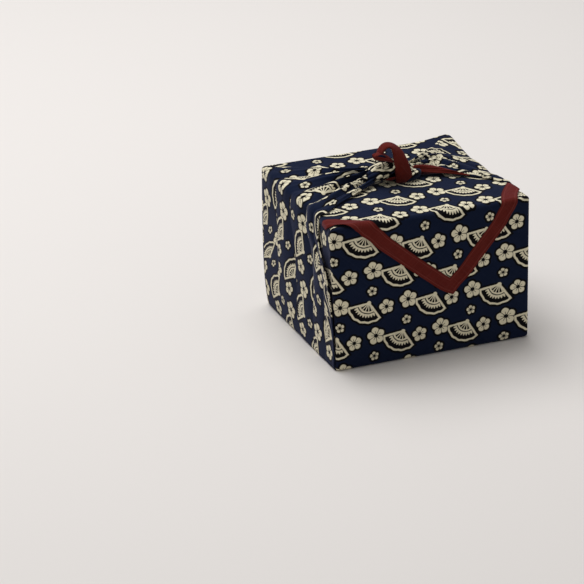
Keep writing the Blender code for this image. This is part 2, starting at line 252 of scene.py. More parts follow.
@dataclass
class Form:
    """The rounded block that the cloth follows, and how the cloth stands out from it.

    The sizes from high_from on are for settled: slack at the near left corner, an ear at the
    far right one with a drop beside it, then how far the right and left walls lean out.
    """

    middle: Vector
    length: float = 0.200
    depth: float = 0.176
    height: float = 0.149
    edge_radius: float = 0.0035
    swell: float = 0.0012
    ripple: float = 0.0005
    ripple_rates: tuple = (61, 53)
    ripple_start: float = 1.1
    wave: float = 0.0005
    wave_scale: float = 34
    layer_step: float = 0.0022
    high_from: float = 0.09
    slack: tuple = (-0.0075, -0.0012, 0.0014)
    slack_radius: float = 0.034
    slack_squash: float = 0.8
    slack_from: float = 0.015
    ear: tuple = (-0.0010, 0.0010, 0.0034)
    ear_radius: float = 0.022
    drop: tuple = (-0.0024, 0, -0.0024)
    drop_radii: tuple = (0.022, 0.052)
    drop_y: float = 0.012
    right_out: tuple = (0.0022, 0.0034)
    right_up: float = 0.0012
    right_from: float = 0.062
    right_width: float = 0.036
    right_depth: float = 0.05
    left_out: tuple = (0.0010, 0.0064)
    left_from: tuple = (0.06, -0.06)
    left_width: tuple = (0.04, 0.09)
    foot_height: float = 0.035

    @property
    def core_x(self) -> float:
        """Half the length between the rounded edges."""
        return self.length / 2 - self.edge_radius

    @property
    def core_y(self) -> float:
        """Half the depth between the rounded edges."""
        return self.depth / 2 - self.edge_radius

    @property
    def core_high(self) -> float:
        """Where the walls end under the top edges."""
        return self.height - self.edge_radius

    @property
    def arc(self) -> float:
        """The way round one edge."""
        return self.edge_radius * pi / 2

    def standing_out(self, point: Vector, normal: Vector) -> float:
        """How far the cloth stands out from the plain form, as it does between edges.

        Args:
            point: The place on the plain form.
            normal: The way the form faces there.

        Returns:
            The distance, nought along the edges.
        """
        across = max(0.0, 1 - (point.x * 2 / self.length) ** 2)
        deep = max(0.0, 1 - (point.y * 2 / self.depth) ** 2)
        up = max(0.0, 1 - (point.z * 2 / self.height - 1) ** 2)
        rate_x, rate_y = self.ripple_rates
        rippled = sin(rate_x * point.x + self.ripple_start) * cos(rate_y * (point.y + point.z))
        wavy = self.swell + rippled * self.ripple
        wavy += noise.noise(point * self.wave_scale) * self.wave * 2
        front = normal.y**2 * across * up
        side = normal.x**2 * deep * up
        top = max(normal.z, 0) ** 2 * across * deep
        return wavy * (front + side + top)

    def over(self, core: Vector, normal: Vector, offset: float) -> Vector:
        """The point over a core point, moved out from the cloth's outer face by offset."""
        skin = core + normal * self.edge_radius
        return skin + normal * (offset + self.standing_out(skin, normal))

    def settled(self, point: Vector) -> Vector:
        """A point of the cloth once it has settled on the box.

        Args:
            point: The point on the even form.

        Returns:
            The point in the frame.
        """
        x, y, z = point
        right, front = x - self.length / 2, y + self.depth / 2
        high = ramp(z, self.high_from, self.core_high - self.high_from)
        near_corner = hypot(x + self.length / 2, front * self.slack_squash)
        up = ramp(z, self.slack_from, self.core_high - self.slack_from)
        moved = Vector(self.slack) * (bell(near_corner, self.slack_radius) * up)
        moved += Vector(self.ear) * bell(hypot(right, y - self.depth / 2), self.ear_radius) * high
        beside = bell(right, self.drop_radii[0]) * bell(y - self.drop_y, self.drop_radii[1], 4)
        moved += Vector(self.drop) * beside * high
        low = 1 - z / self.core_high
        out = self.right_out[0] + self.right_out[1] * low
        near_right = ramp(x, self.right_from, self.right_width) * bell(front, self.right_depth, 4)
        moved += Vector((out, 0, self.right_up * high)) * near_right
        far_left = ramp(-x, self.left_from[0], self.left_width[0])
        far_left *= ramp(y, self.left_from[1], self.left_width[1])
        out = self.left_out[0] - self.left_out[1] * (1 - bell(z, self.foot_height, 1))
        moved += Vector((out, 0, 0)) * far_left
        return point + moved + self.middle


class ClothMesh:
    """Gathers grids of points of the one cloth into a mesh with its two maps."""

    def __init__(self, form: Form) -> None:
        """Starts with no faces.

        Args:
            form: The form that the cloth settles on.
        """
        self.form = form
        self.made = bmesh.new()
        self.cloth_map = self.made.loops.layers.uv.new("cloth")
        self.edge_map = self.made.loops.layers.uv.new("edges")

    def add(self, rows: list[list[Spot]], turned: bool = False) -> list[list[bmesh.types.BMVert]]:
        """Adds a grid of points and its faces.

        Args:
            rows: The points, row by row.
            turned: Whether the faces look the other way.

        Returns:
            The mesh's own points, row by row.
        """
        verts = [[self.made.verts.new(self.form.settled(s.point)) for s in row] for row in rows]
        for i in range(len(rows) - 1):
            for j in range(len(rows[0]) - 1):
                ring = [(i, j), (i, j + 1), (i + 1, j + 1), (i + 1, j)]
                if turned:
                    ring.reverse()
                face = self.made.faces.new([verts[a][b] for a, b in ring])
                for loop, (a, b) in zip(face.loops, ring):
                    loop[self.cloth_map].uv = rows[a][b].cloth
                    loop[self.edge_map].uv = rows[a][b].edges
        return verts

    def weld(self) -> None:
        """Joins the grids where they meet."""
        bmesh.ops.remove_doubles(self.made, verts=self.made.verts, dist=MERGE_DISTANCE)

    def finish(self, name: str, materials: Iterable[bpy.types.Material]) -> bpy.types.Object:
        """Makes one object from the mesh.

        Args:
            name: The object's name.
            materials: The finish of the face, then of the reverse where it has one.

        Returns:
            The object, with no thickness yet.
        """
        mesh = bpy.data.meshes.new(name)
        self.made.to_mesh(mesh)
        self.made.free()
        for material in materials:
            mesh.materials.append(material)
        mesh.shade_smooth()
        thing = bpy.data.objects.new(name, mesh)
        bpy.context.collection.objects.link(thing)
        return thing


FLAP_EDGES = rows_of(
    FlapEdge,
    (-3000, -600, -212, -104, -85, -46, -12, 20, 50, 90, 150, 250, 400, 550, 688, 780, 831, 860),
    (
        -3740, -2200, -1500, -1170, -990, -923, -868, -804, -768, -738, -672, -585, -415, -237,
        -63, 52, 135, 200,
    ),
    (3720, 1340, 1003, 924, 912, 893, 876, 860, 847, 826, 789, 733, 610, 485, 370, 270, 227, 205),
)


@dataclass
class Belt:
    """The run of cloth from the front corner, under the box, to the back corner's flap.

    A pair of numbers is where a change starts and how wide it is, but flange_head starts with
    the least share.
    """

    form: Form
    underlayer_end: float = 0.078
    narrowed: float = 0.9
    narrowed_from: float = -0.045
    narrowed_width: float = 0.02
    bare_sink: float = 0.64
    bare_edge: tuple = (-0.006, 0.010)
    over_rim: float = 0.0006
    over_rim_width: float = 0.003
    top_facing: float = radians(91)
    hang: float = 0.0024
    rim_turn: float = radians(82)
    flap_drop: float = 0.086
    flap_steps: int = 44
    flap_from: float = -0.08
    edge_from: float = -0.11
    edge_steps: int = 130
    left_lift: float = 0.0030
    left_reach: float = 0.022
    right_lift: float = 0.0004
    right_reach: float = 0.018
    lift_from: float = -0.010
    lift_rise: float = 0.012
    lift_until: float = 0.004
    lift_fall: float = 0.050
    arc_steps: int = 6
    pitch: float = 0.0031
    back_coarser: float = 1.5
    coarse_pitch: float = 0.0090
    flange: float = 0.072
    flange_steps: int = 16
    flange_return: float = 0.066
    flange_foot: float = 0.03
    flange_head: tuple = (0.75, 0.02)
    least_flange: float = 0.002
    flange_sink: float = 0.0006
    sink_width: float = 0.02
    return_sink: float = 0.0015
    groove: float = 0.0019
    groove_ways: tuple = (0.0012, 0.0024, 0.0036)
    groove_foot: float = 0.02
    groove_head: tuple = (0.016, 0.02)
    groove_end: float = 0.008
    groove_fade: float = 0.012

    def __post_init__(self) -> None:
        """Works out the rims, and traces the over layer's two cut edges."""
        form = self.form
        self.rim = form.core_x + form.edge_radius * self.rim_turn
        self.arc_end = form.core_x + form.arc
        self.hung = self.arc_end + self.hang
        pasts = spaced(self.edge_from, self.flap_drop, self.edge_steps)
        rows = [smooth_table(FLAP_EDGES, past) for past in pasts]
        self.left_line = [(row.left, row.past_edge) for row in rows]
        self.right_line = [(row.right, row.past_edge) for row in rows]

    def _stations(self, legs: Iterable[Leg], run: float) -> list[Station]:
        """Stations along faces and round the edges between them.

        Args:
            legs: The faces, in order.
            run: The way along the flat cloth at their start.

        Returns:
            The stations.
        """
        rows: list[Station] = []
        for leg in legs:
            (y0, z0), (y1, z1) = leg.start, leg.end
            length = hypot(y1 - y0, z1 - z0)
            for along in stepped(0, length, leg.pitch):
                y, z = mix(y0, y1, along / length), mix(z0, z1, along / length)
                rows.append(Station(y, z, radians(leg.facing), leg.lift, run + along))
            run = rows[-1].run
            if leg.next_lift is not None:
                for share in spaced(0, 1, self.arc_steps)[1:-1]:
                    normal = radians(leg.facing % 360 + 90 * share)
                    lift = mix(leg.lift, leg.next_lift, share)
                    rows.append(Station(y1, z1, normal, lift, run + self.form.arc * share))
            run += self.form.arc
        return rows

    def base_stations(self) -> list[Station]:
        """The belt's path as far as the top of its back.

        Returns:
            Its stations, from the front corner under the over layer.
        """
        form = self.form
        front, back = -form.core_y, form.core_y
        low, high = form.edge_radius, form.core_high
        fine, coarse = self.pitch, self.coarse_pitch
        legs = (
            Leg((self.underlayer_end, high), (front, high), coarse, 90, -form.layer_step),
            Leg((front, high), (front, low), fine, 180, 0),
            Leg((front, low), (back, low), coarse, 270, 0),
            Leg((back, low), (back, high), fine * self.back_coarser, 360, 0),
        )
        top_run = self.underlayer_end - front
        return self._stations(legs, -(form.depth / 2 + form.height) - top_run)

    def over_stations(self) -> list[Station]:
        """The over layer on the top, and the flap down the front.

        Returns:
            Its stations, from the back.
        """
        form = self.form
        front, back, high = -form.core_y, form.core_y, form.core_high
        tip = high + form.arc / 2 - self.flap_drop
        step = form.layer_step
        legs = (
            Leg((back, high), (front, high), self.pitch, 90, 0, step),
            Leg((front, high), (front, tip), (high - tip) / self.flap_steps, 180, step, None),
        )
        return self._stations(legs, self.base_stations()[-1].run + form.arc / self.arc_steps)

    def past_front_edge(self, station: Station) -> float:
        """How far an over-layer station is past the middle of the front top edge.

        Args:
            station: The station.

        Returns:
            The way, less than nought on the top.
        """
        form = self.form
        if station.z < form.core_high:
            return form.arc / 2 + form.core_high - station.z
        if station.y > -form.core_y:
            return -form.arc / 2 - (station.y + form.core_y)
        return form.edge_radius * (station.normal - radians(135))

    def point(self, station: Station, across: float, extra: float = 0) -> Vector:
        """A point of the belt's outer face.

        Args:
            station: The line across the belt.
            across: The way across, which turns down round the rims.
            extra: How far it stands over the station's own lift.

        Returns:
            The point.
        """
        form = self.form
        reach = clamped(across, -form.core_x, form.core_x)
        tilt = (across - reach) / form.edge_radius
        flat = Vector((0, cos(station.normal), sin(station.normal)))
        beyond = max(0.0, abs(tilt) - pi / 2) * form.edge_radius
        tilt = clamped(tilt, -pi / 2, pi / 2)
        normal = (flat * cos(tilt) + Vector((sin(tilt), 0, 0))).normalized()
        core = Vector((reach, station.y, station.z)) - flat * beyond
        return form.over(core, normal, station.lift + extra)

    def _sunk(self, station: Station, across: float) -> float:
        """How much less the layer underneath is sunk where the flap leaves it bare."""
        inside = min(self.edge_distances(self.past_front_edge(station), across))
        return -station.lift * self.bare_sink * (1 - ramp(inside, *self.bare_edge))

    def flap_lift(self, past: float, from_left: float, from_right: float) -> float:
        """How far the flap stands off the front, most under the front top edge.

        Args:
            past: The way past the front top edge.
            from_left: How far inside the left cut edge.
            from_right: How far inside the right one.

        Returns:
            The lift.
        """
        if past < self.lift_from:
            return 0.0
        hang = ramp(past, self.lift_from, self.lift_rise)
        hang *= 1 - ramp(past, self.lift_until, self.lift_fall)
        lift = self.left_lift * hang * bell(from_left, self.left_reach)
        return lift + self.right_lift * bell(from_right, self.right_reach)

    def edge_distances(self, past: float, across: float) -> tuple[float, float]:
        """How far a point of the over layer is inside its left and right edges.

        Args:
            past: Its distance past the front top edge.
            across: Its place across the belt.

        Returns:
            The distances, less than nought outside the edge.
        """
        edge = smooth_table(FLAP_EDGES, past)
        from_left = self._away(self.left_line, across, past)
        from_right = self._away(self.right_line, across, past)
        return (
            from_left if across > edge.left else -from_left,
            from_right if across < edge.right else -from_right,
        )

    @staticmethod
    def _away(line: list[tuple[float, float]], x: float, y: float) -> float:
        """The distance from a point to a line.

        Args:
            line: The ends of its short straight runs.
            x: The point's place across.
            y: Its place along.

        Returns:
            The distance.
        """
        nearest = FAR_FROM_EDGE
        for (x0, y0), (x1, y1) in zip(line, line[1:]):
            run_x, run_y = x1 - x0, y1 - y0
            share = ((x - x0) * run_x + (y - y0) * run_y) / (run_x * run_x + run_y * run_y)
            share = clamped(share)
            nearest = min(nearest, hypot(x - x0 - run_x * share, y - y0 - run_y * share))
        return nearest

    def dress(self, mesh: ClothMesh) -> None:
        """Adds the belt to the cloth, with its flanges.

        Args:
            mesh: The cloth that it is added to.
        """
        core_x = self.form.core_x
        turned = spaced(core_x, self.rim, self.arc_steps)[1:]
        wide = [-x for x in reversed(turned)] + stepped(-core_x, core_x, self.pitch) + turned
        base = self.base_stations()
        rows = [self._base_row(station, wide) for station in base]
        mesh.add(rows + [self._over_row(station, wide) for station in self.over_stations()], True)
        for facing in (180, 360):
            wall = [s for s in base if s.normal == radians(facing)]
            for side in Side:
                flange = [self._flange_row(station, side) for station in wall]
                mesh.add(flange, side is Side.RIGHT)

    def _base_row(self, station: Station, wide: list[float]) -> list[Spot]:
        """The points across the belt at a station under the over layer.

        Args:
            station: The station.
            wide: The ways across a whole belt.

        Returns:
            The points.
        """
        share = 1.0
        if station.lift == -self.form.layer_step:
            drawn_in = ramp(station.y, self.narrowed_from, self.narrowed_width)
            share = mix(self.hung / self.rim, self.narrowed, drawn_in)
        row = []
        for x in (way * share for way in wide):
            extra = self._sunk(station, x) if station.lift < 0 else 0.0
            row.append(Spot(self.point(station, x, extra), on_bias(x, station.run)))
        return row

    def _over_row(self, station: Station, wide: list[float]) -> list[Spot]:
        """The points across the over layer, between its cut edges or its rims.

        Args:
            station: The station.
            wide: The ways across a whole belt.

        Returns:
            The points.
        """
        past = self.past_front_edge(station)
        edge = smooth_table(FLAP_EDGES, past)
        left, right = max(edge.left, -self.hung), min(edge.right, self.hung)
        middle, width = (left + right) / 2, right - left
        whole = left <= -self.hung and right >= self.hung
        row = []
        for share in (way / self.rim for way in wide):
            x = share * self.hung if whole else middle + share * width / 2
            edges, extra = (FAR_FROM_EDGE, FAR_FROM_EDGE), 0.0
            if past > self.flap_from:
                edges = self.edge_distances(past, x)
                extra = self.flap_lift(past, *edges)
            if station.normal < self.top_facing:
                past_rim = (abs(x) - self.form.core_x) / self.over_rim_width
                extra += self.over_rim * eased(past_rim + 0.5)
            row.append(Spot(self.point(station, x, extra), on_bias(x, station.run), edges))
        return row

    def _flange_row(self, station: Station, side: Side) -> list[Spot]:
        """The points of the cloth that a wall carries round on to a side, out and back.

        Args:
            station: The station on the wall.
            side: The side that the cloth is carried on to.

        Returns:
            The points.
        """
        up, down = station.z - self.form.edge_radius, self.form.core_high - station.z
        least, head = self.flange_head
        reach = self.flange * ramp(up, 0, self.flange_foot) * mix(least, 1, ramp(down, 0, head))
        reach = max(reach, self.least_flange)
        deep = 0.0
        if station.y < 0 and side is Side.LEFT:
            deep = self.groove * ramp(up, 0, self.groove_foot) * ramp(down, *self.groove_head)
        ways = [(self.rim, 0.0), (self.arc_end, 0.0)]
        for way in [*self.groove_ways, *spaced(0, reach, self.flange_steps)[1:]]:
            hollow = ramp(way, 0, self.groove_ways[-1])
            hollow *= 1 - ramp(way, self.groove_end, self.groove_fade)
            sink = self.flange_sink * ramp(way, 0, self.sink_width)
            ways.append((self.arc_end + way, -sink - deep * hollow))
        back = reach * self.flange_return / self.flange
        for way in spaced(0, back, self.flange_steps // 2):
            hollow = 1 - ramp(reach - way, self.groove_end, self.groove_fade)
            ways.append((self.arc_end + reach - way, -self.return_sink - deep * hollow))
        row, reached = [], 0.0
        for (way, sunk), (last, _) in zip(ways, ways[:1] + ways):
            reached += abs(way - last)
            cloth = on_bias(side.value * (self.rim + reached), station.run)
            row.append(Spot(self.point(station, side.value * way, sunk), cloth))
        return row


LEFT_ARM = rows_of(
    ArmRow,
    (
        -20, 60, 200, 450, 700, 900, 1070, 1180, 1245, 1340, 1450, 1530, 1620, 1760, 1960, 2130,
        2270, 2410,
    ),
    (
        -845, -845, -845, -845, -832, -796, -722, -620, -560, -530, -542, -540, -460, -350, -230,
        -130, -70, -40,
    ),
    (812, 810, 805, 800, 800, 800, 800, 800, 805, 805, 805, 800, 750, 660, 480, 330, 230, 170),
    (13, 13, 13, 14, 14, 16, 17, 18, 18, 18, 18, 20, 24, 30, 42, 56, 74, 88),
)
RIGHT_ARM = rows_of(
    ArmRow,
    (-20, 60, 200, 450, 700, 950, 1200, 1400, 1530, 1640, 1730, 1930, 2100, 2220, 2380),
    (-812, -810, -790, -735, -660, -590, -530, -500, -460, -300, -235, -135, -85, -40, -10),
    (812, 810, 805, 800, 800, 800, 800, 805, 800, 740, 660, 490, 340, 235, 160),
    (13, 13, 13, 14, 14, 14, 15, 14, 14, 20, 26, 44, 58, 68, 82),
)

LEFT_PATHS = (0, 600, 1490, 1730, 1960, 2410)
LEFT_VALLEYS = tables_of(
    Valley,
    LEFT_PATHS,
    (0.13, 0.12, 0.1, 0.1, 0.11, 0.12),
    (-1, -5, -6, -12, -20, -34),
    (0.3, 0.28, 0.23, 0.24, 0.36, 0.44),
    (-1, -6, -14, -27, -39, -48),
    (0.52, 0.51, 0.48, 0.47, 0.54, 0.62),
    (-1, -5, -9, -20, -32, -44),
    (0.75, 0.75, 0.74, 0.74, 0.78, 0.8),
    (0, -1, -5, -14, -24, -36),
)
LEFT_CRESTS = tables_of(
    Crest,
    LEFT_PATHS,
    (0.45, 0.45, 0.45, 0.5, 0.5, 0.5),
    (1, 4, 6, 14, 22, 28),
    (0.45, 0.45, 0.4, 0.4, 0.45, 0.5),
    (3, 10, 15, 26, 36, 38),
    (0.5, 0.5, 0.4, 0.36, 0.38, 0.45),
    (2, 8, 14, 30, 48, 46),
    (0.5, 0.5, 0.45, 0.4, 0.42, 0.5),
    (1, 5, 9, 22, 36, 40),
    (0.4, 0.4, 0.35, 0.3, 0.35, 0.45),
    (0, 1, 4, 9, 16, 24),
)
RIGHT_PATHS = (0, 600, 1490, 1680, 1810, 1930, 2100, 2220, 2380)
RIGHT_VALLEYS = tables_of(
    Valley,
    RIGHT_PATHS,
    (0.01, 0.01, 0.01, 0.01, 0.014, 0.06, 0.23, 0.29, 0.3),
    (0, 0, 0, 1, 4, 16, 34, 36, 10),
    (0.08, 0.07, 0.045, 0.11, 0.2, 0.32, 0.4, 0.42, 0.44),
    (0, -1, -4, -8, -10, -8, -6, -14, -30),
    (0.36, 0.33, 0.27, 0.42, 0.56, 0.67, 0.74, 0.75, 0.75),
    (0, -1, -8, -14, -18, -22, -26, -30, -36),
    (0.68, 0.66, 0.62, 0.7, 0.78, 0.84, 0.88, 0.89, 0.9),
    (0, -1, -5, -8, -10, -12, -14, -20, -30),
)
RIGHT_CRESTS = tables_of(
    Crest,
    RIGHT_PATHS,
    (0.5, 0.5, 0.5, 0.5, 0.6, 0.75, 0.8, 0.8, 0.7),
    (0, 0, 0, 1, 5, 18, 36, 38, 14),
    (0.5, 0.5, 0.5, 0.5, 0.45, 0.4, 0.4, 0.4, 0.45),
    (0, 1, 6, 12, 18, 28, 40, 40, 30),
    (0.5, 0.5, 0.45, 0.42, 0.42, 0.45, 0.45, 0.45, 0.45),
    (0, 2, 11, 22, 30, 36, 40, 40, 36),
    (0.5, 0.5, 0.5, 0.5, 0.5, 0.5, 0.5, 0.5, 0.5),
    (0, 2, 8, 12, 16, 20, 24, 26, 28),
    (0.5, 0.5, 0.5, 0.5, 0.5, 0.5, 0.5, 0.5, 0.5),
    (0, 1, 4, 6, 8, 10, 12, 14, 16),
)


@dataclass
class Arm:
    """One arm of the cloth: up the wall, over the top edge, and gathered in to the knot.

    A pair of numbers is the way along at which a change starts and how wide it is, but
    lip_grown starts with the least share.
    """

    form: Form
    side: Side
    rows: list[ArmRow]
    valleys: list[list[Valley]]
    crests: list[list[Crest]]
    lean: float = 0.5
    lip_steps: int = 7
    lip_return: float = 0.050
    lip_radius: float = 0.0007
    lip_rise: float = 0.0
    lip_foot: tuple = (0.001, 0.006)
    lip_grown: tuple = (0.5, 0.06)
    lip_top: tuple = (0.112, 0.026)
    lip_low: float = 0.0002
    lip_least: float = 0.0003
    lip_most: float = 0.42
    lip_bulge: float = 1.1
    lip_turn: float = 0.35
    lip_ways: tuple = (0.1, 0.4, 0.7, 1.0)
    tuck_depth: float = 0.012
    tuck_least: float = 0.0004
    tuck_most: float = 0.12
    tuck_low: float = 0.0001
    tuck_gap: float = 0.0006
    tuck_under: float = 0.0013
    tuck_in: tuple = (0.15, 0.6, 1.0)
    tuck_out: tuple = (0.0, 0.4, 0.85)
    tuck_rise: tuple = (0.03, 0.08)
    pleat_steps: int = 18
    crest_power: float = 0.9
    foot_steps: int = 3
    edge_steps: int = 6
    pitch: float = 0.0030
    top_finer: float = 0.8
    start_path: float = 0.0012
    end_path: float = 0.241
    drift_end: tuple = (0.1, 0.1)
    soft_back: float = 0.0
    soft_from: float = 0.0010
    hem_from: float = 1.0
    fine_folds: int = 13
    fine_height: float = 0.0007
    fine_rise: tuple = (0.12, 0.08)
    wander: float = 5
    wander_rates: tuple = (7, 22, 3.3)

    @property
    def edge_end(self) -> float:
        """The way up the wall and round its top edge."""
        return self.form.core_high + self.form.arc

    def at(self, path: float) -> tuple[Vector, Vector]:
        """The core point and the normal at a way along the arm.

        Args:
            path: The way along the arm, from the foot of its wall.

        Returns:
            The point and the normal.
        """
        form, side = self.form, self.side.value
        if path >= self.edge_end:
            inward = path - self.edge_end
            return Vector((side * (form.core_x - inward), 0, form.core_high)), Vector((0, 0, 1))
        height = clamped(path, form.edge_radius, form.core_high)
        angle = (path - height) / form.edge_radius
        return Vector((side * form.core_x, 0, height)), Vector((side * cos(angle), 0, sin(angle)))

    def section(self, path: float) -> list[list[tuple[float, float]]]:
        """The arm's outline at a way along it, pleat by pleat from its front.

        Args:
            path: The way along the arm.

        Returns:
            For the lip and then each pleat, its points as a place across and a height.
        """
        row = smooth_table(self.rows, path)
        least, grown = self.lip_grown
        standing = mix(least, 1, ramp(path, 0, grown)) * ramp(path, *self.lip_foot)
        standing *= 1 - ramp(path, *self.lip_top)
        marks = [(0.0, self.lip_rise * standing)]
        marks += [smooth_table(valley, path)[1:] for valley in self.valleys]
        marks.append((1.0, -self.soft_back * max(row.lift - self.soft_from, 0)))
        width = row.back - row.front
        strips = []
        for table, start, end in zip(self.crests, marks, marks[1:]):
            outline = self._pleat(row, start, end, smooth_table(table, path))
            if strips:
                strips.append(self._tuck(path, strips[-1][-1], outline[0], width))
            strips.append(outline)
        inward = min(self.lip_return, self.lip_most * width)
        front = self._lip(*strips[0][0], -1, inward)
        back = self._lip(*strips[-1][-1], 1, inward)
        return [front[::-1], *strips, back]

    def _pleat(self, row: ArmRow, start: tuple, end: tuple, crest: Crest) -> list[tuple]:
        """One pleat's outline between two valleys.

        Args:
            row: The arm's edges and height at a way along it.
            start: The valley before the pleat, as a share across and a height.
            end: The valley after it.
            crest: Its crest.

        Returns:
            Its points as a place across and a height.
        """
        width = row.back - row.front
        fine = self.fine_height * ramp(crest.path, *self.fine_rise)
        outline = []
        for t in spaced(0, 1, self.pleat_steps):
            before = t / crest.between / 2
            skewed = before if t < crest.between else 1 - (1 - t) / (1 - crest.between) / 2
            base = mix(start[1], end[1], t)
            risen = max(sin(pi * skewed), 0.0) ** self.crest_power
            height = base + (crest.height - base) * risen
            share = mix(start[0], end[0], t)
            spot = zip((share, crest.path, self.side.value), self.wander_rates)
            drift = noise.noise(Vector([part * rate for part, rate in spot]))
            folded = sin(2 * pi * self.fine_folds * share + self.wander * drift)
            height += fine * folded * sin(pi * t)
            y = row.front + share * width - self.lean * max(0.0, height) * sin(pi * t)
            outline.append((y, row.lift + height))
        return outline

    def _tuck(self, path: float, start: tuple, end: tuple, width: float) -> list[tuple]:
        """The cloth that is folded away between two pleats.

        Args:
            path: The way along the arm.
            start: Where the pleat before it ends.
            end: Where the pleat after it starts.
            width: How wide the arm is there.

        Returns:
            Its points, in under the pleat after it and out again.
        """
        deep = self.tuck_depth * ramp(path, *self.tuck_rise) + self.tuck_least
        deep = min(deep, self.tuck_most * width)
        low = min(self.tuck_low, start[1] - self.tuck_under)
        high = min(low + self.tuck_gap, end[1] - self.tuck_gap)
        inner = [(mix(start[0], start[0] + deep, t), low) for t in self.tuck_in]
        outer = [(mix(end[0] + deep, end[0], t), high) for t in self.tuck_out]
        return [start, *inner, *outer, end]

    def _lip(self, y: float, height: float, way: int, inward: float) -> list[tuple]:
        """A rounded edge that turns under the arm.

        Args:
            y: Where the arm's face ends.
            height: How high it is there.
            way: One at the back edge, and minus one at the front.
            inward: How far the turned cloth runs back under the arm.

        Returns:
            Its points, from the arm's face down and in.
        """
        low = self.lip_low
        radius = min(max((height - low) / 2, self.lip_least), self.lip_radius)
        points = [(y, height)]
        for angle in spaced(pi / 2, -pi / 2, self.lip_steps)[1:]:
            out = way * radius * cos(angle) * self.lip_bulge
            points.append((y + out, height - radius + radius * sin(angle)))
        for t in self.lip_ways:
            under = mix(height - 2 * radius, low, eased(t / self.lip_turn))
            points.append((y - way * inward * t, under))
        return points

    def dress(self, mesh: ClothMesh) -> None:
        """Adds the arm to the cloth, each pleat and each tuck a grid of its own.

        Args:
            mesh: The cloth that it is added to.
        """
        form, side = self.form, self.side.value
        paths = spaced(self.start_path, form.edge_radius, self.foot_steps)
        paths += stepped(form.edge_radius, form.core_high, self.pitch)[1:]
        paths += spaced(form.core_high, self.edge_end, self.edge_steps)[1:]
        paths += stepped(self.edge_end, self.end_path, self.pitch * self.top_finer)[1:]
        grids: list[list[list[Spot]]] = []
        for path in paths:
            section = self.section(path)
            core, normal = self.at(path)
            up = side * (form.length / 2 + path)
            grids = grids or [[] for _ in section]
            for index, places in enumerate(self._places(path, section)):
                near = IN_BORDER if index < 2 and path > self.hem_from else FAR_FROM_EDGE
                row = []
                for (y, h), across in zip(section[index], places):
                    point = form.over(core + Vector((0, y, 0)), normal, h)
                    row.append(Spot(point, on_bias(up, across), (near, near)))
                grids[index].append(row)
        for grid in grids:
            mesh.add(grid, self.side is Side.LEFT)

    def _places(self, path: float, section: list[list[tuple]]) -> list[list[float]]:
        """Where each point of a section lies across the flat cloth.

        Args:
            path: The way along the arm.
            section: The arm's outline there.

        Returns:
            The places across the cloth, strip by strip, as the section has them.
        """
        strips, reached = [], 0.0
        for outline in section:
            strip = [reached]
            for (y0, h0), (y1, h1) in zip(outline, outline[1:]):
                reached += hypot(y1 - y0, h1 - h0)
                strip.append(reached)
            strips.append(strip)
        row = smooth_table(self.rows, path)
        middle = (strips[1][0] + strips[-2][-1]) / 2
        drift = (row.front + row.back) / 2 * (1 - ramp(path, *self.drift_end))
        return [[place - middle + drift for place in strip] for strip in strips]


class Wire:
    """A value on its way through a material, with the usual operators."""

    def __init__(self, nodes: NodeSheet, socket: bpy.types.NodeSocket) -> None:
        """Wraps an output socket."""
        self.nodes = nodes
        self.socket = socket

    def maths(self, operation: str, *others: float | Wire) -> Wire:
        """This value and others through one Math node."""
        inputs = dict(enumerate((self, *others)))
        return self.nodes.add("ShaderNodeMath", {"operation": operation}, inputs)

    def __add__(self, other: float | Wire) -> Wire:
        """Adds."""
        return self.maths("ADD", other)

    def __sub__(self, other: float | Wire) -> Wire:
        """Subtracts."""
        return self.maths("SUBTRACT", other)

    def __mul__(self, other: float | Wire) -> Wire:
        """Multiplies."""
        return self.maths("MULTIPLY", other)

    def __truediv__(self, other: float | Wire) -> Wire:
        """Divides."""
        return self.maths("DIVIDE", other)

    __radd__ = __add__
    __rmul__ = __mul__

    def __rsub__(self, other: float) -> Wire:
        """Subtracts this from a number."""
        return self.nodes.add("ShaderNodeMath", {"operation": "SUBTRACT"}, {0: other, 1: self})

    def least(self, other: float | Wire) -> Wire:
        """The smaller of the two."""
        return self.maths("MINIMUM", other)

    def most(self, other: float | Wire) -> Wire:
        """The larger of the two."""
        return self.maths("MAXIMUM", other)

    def size(self) -> Wire:
        """The value without its sign."""
        return self.maths("ABSOLUTE")

    def folded(self, pitch: float) -> Wire:
        """The value from the middle of its repeat, half a pitch each way."""
        return (self / pitch + 0.5).maths("FRACT") * pitch - pitch / 2

    def ranged(self, reach: tuple) -> Wire:
        """The first of two numbers where this is nought, and the second more where it is one."""
        return reach[0] + self * reach[1]

    def below(self, limit: float | Wire, blur: float) -> Wire:
        """One where the value is under a limit and nought over it.

        Args:
            limit: The limit.
            blur: How far on each side of it the change is spread.

        Returns:
            The mask.
        """
        reach = {"From Min": -blur, "From Max": blur, "To Min": 1.0, "To Max": 0.0}
        settings = {"interpolation_type": "SMOOTHSTEP"}
        return self.nodes.add("ShaderNodeMapRange", settings, {"Value": self - limit, **reach})


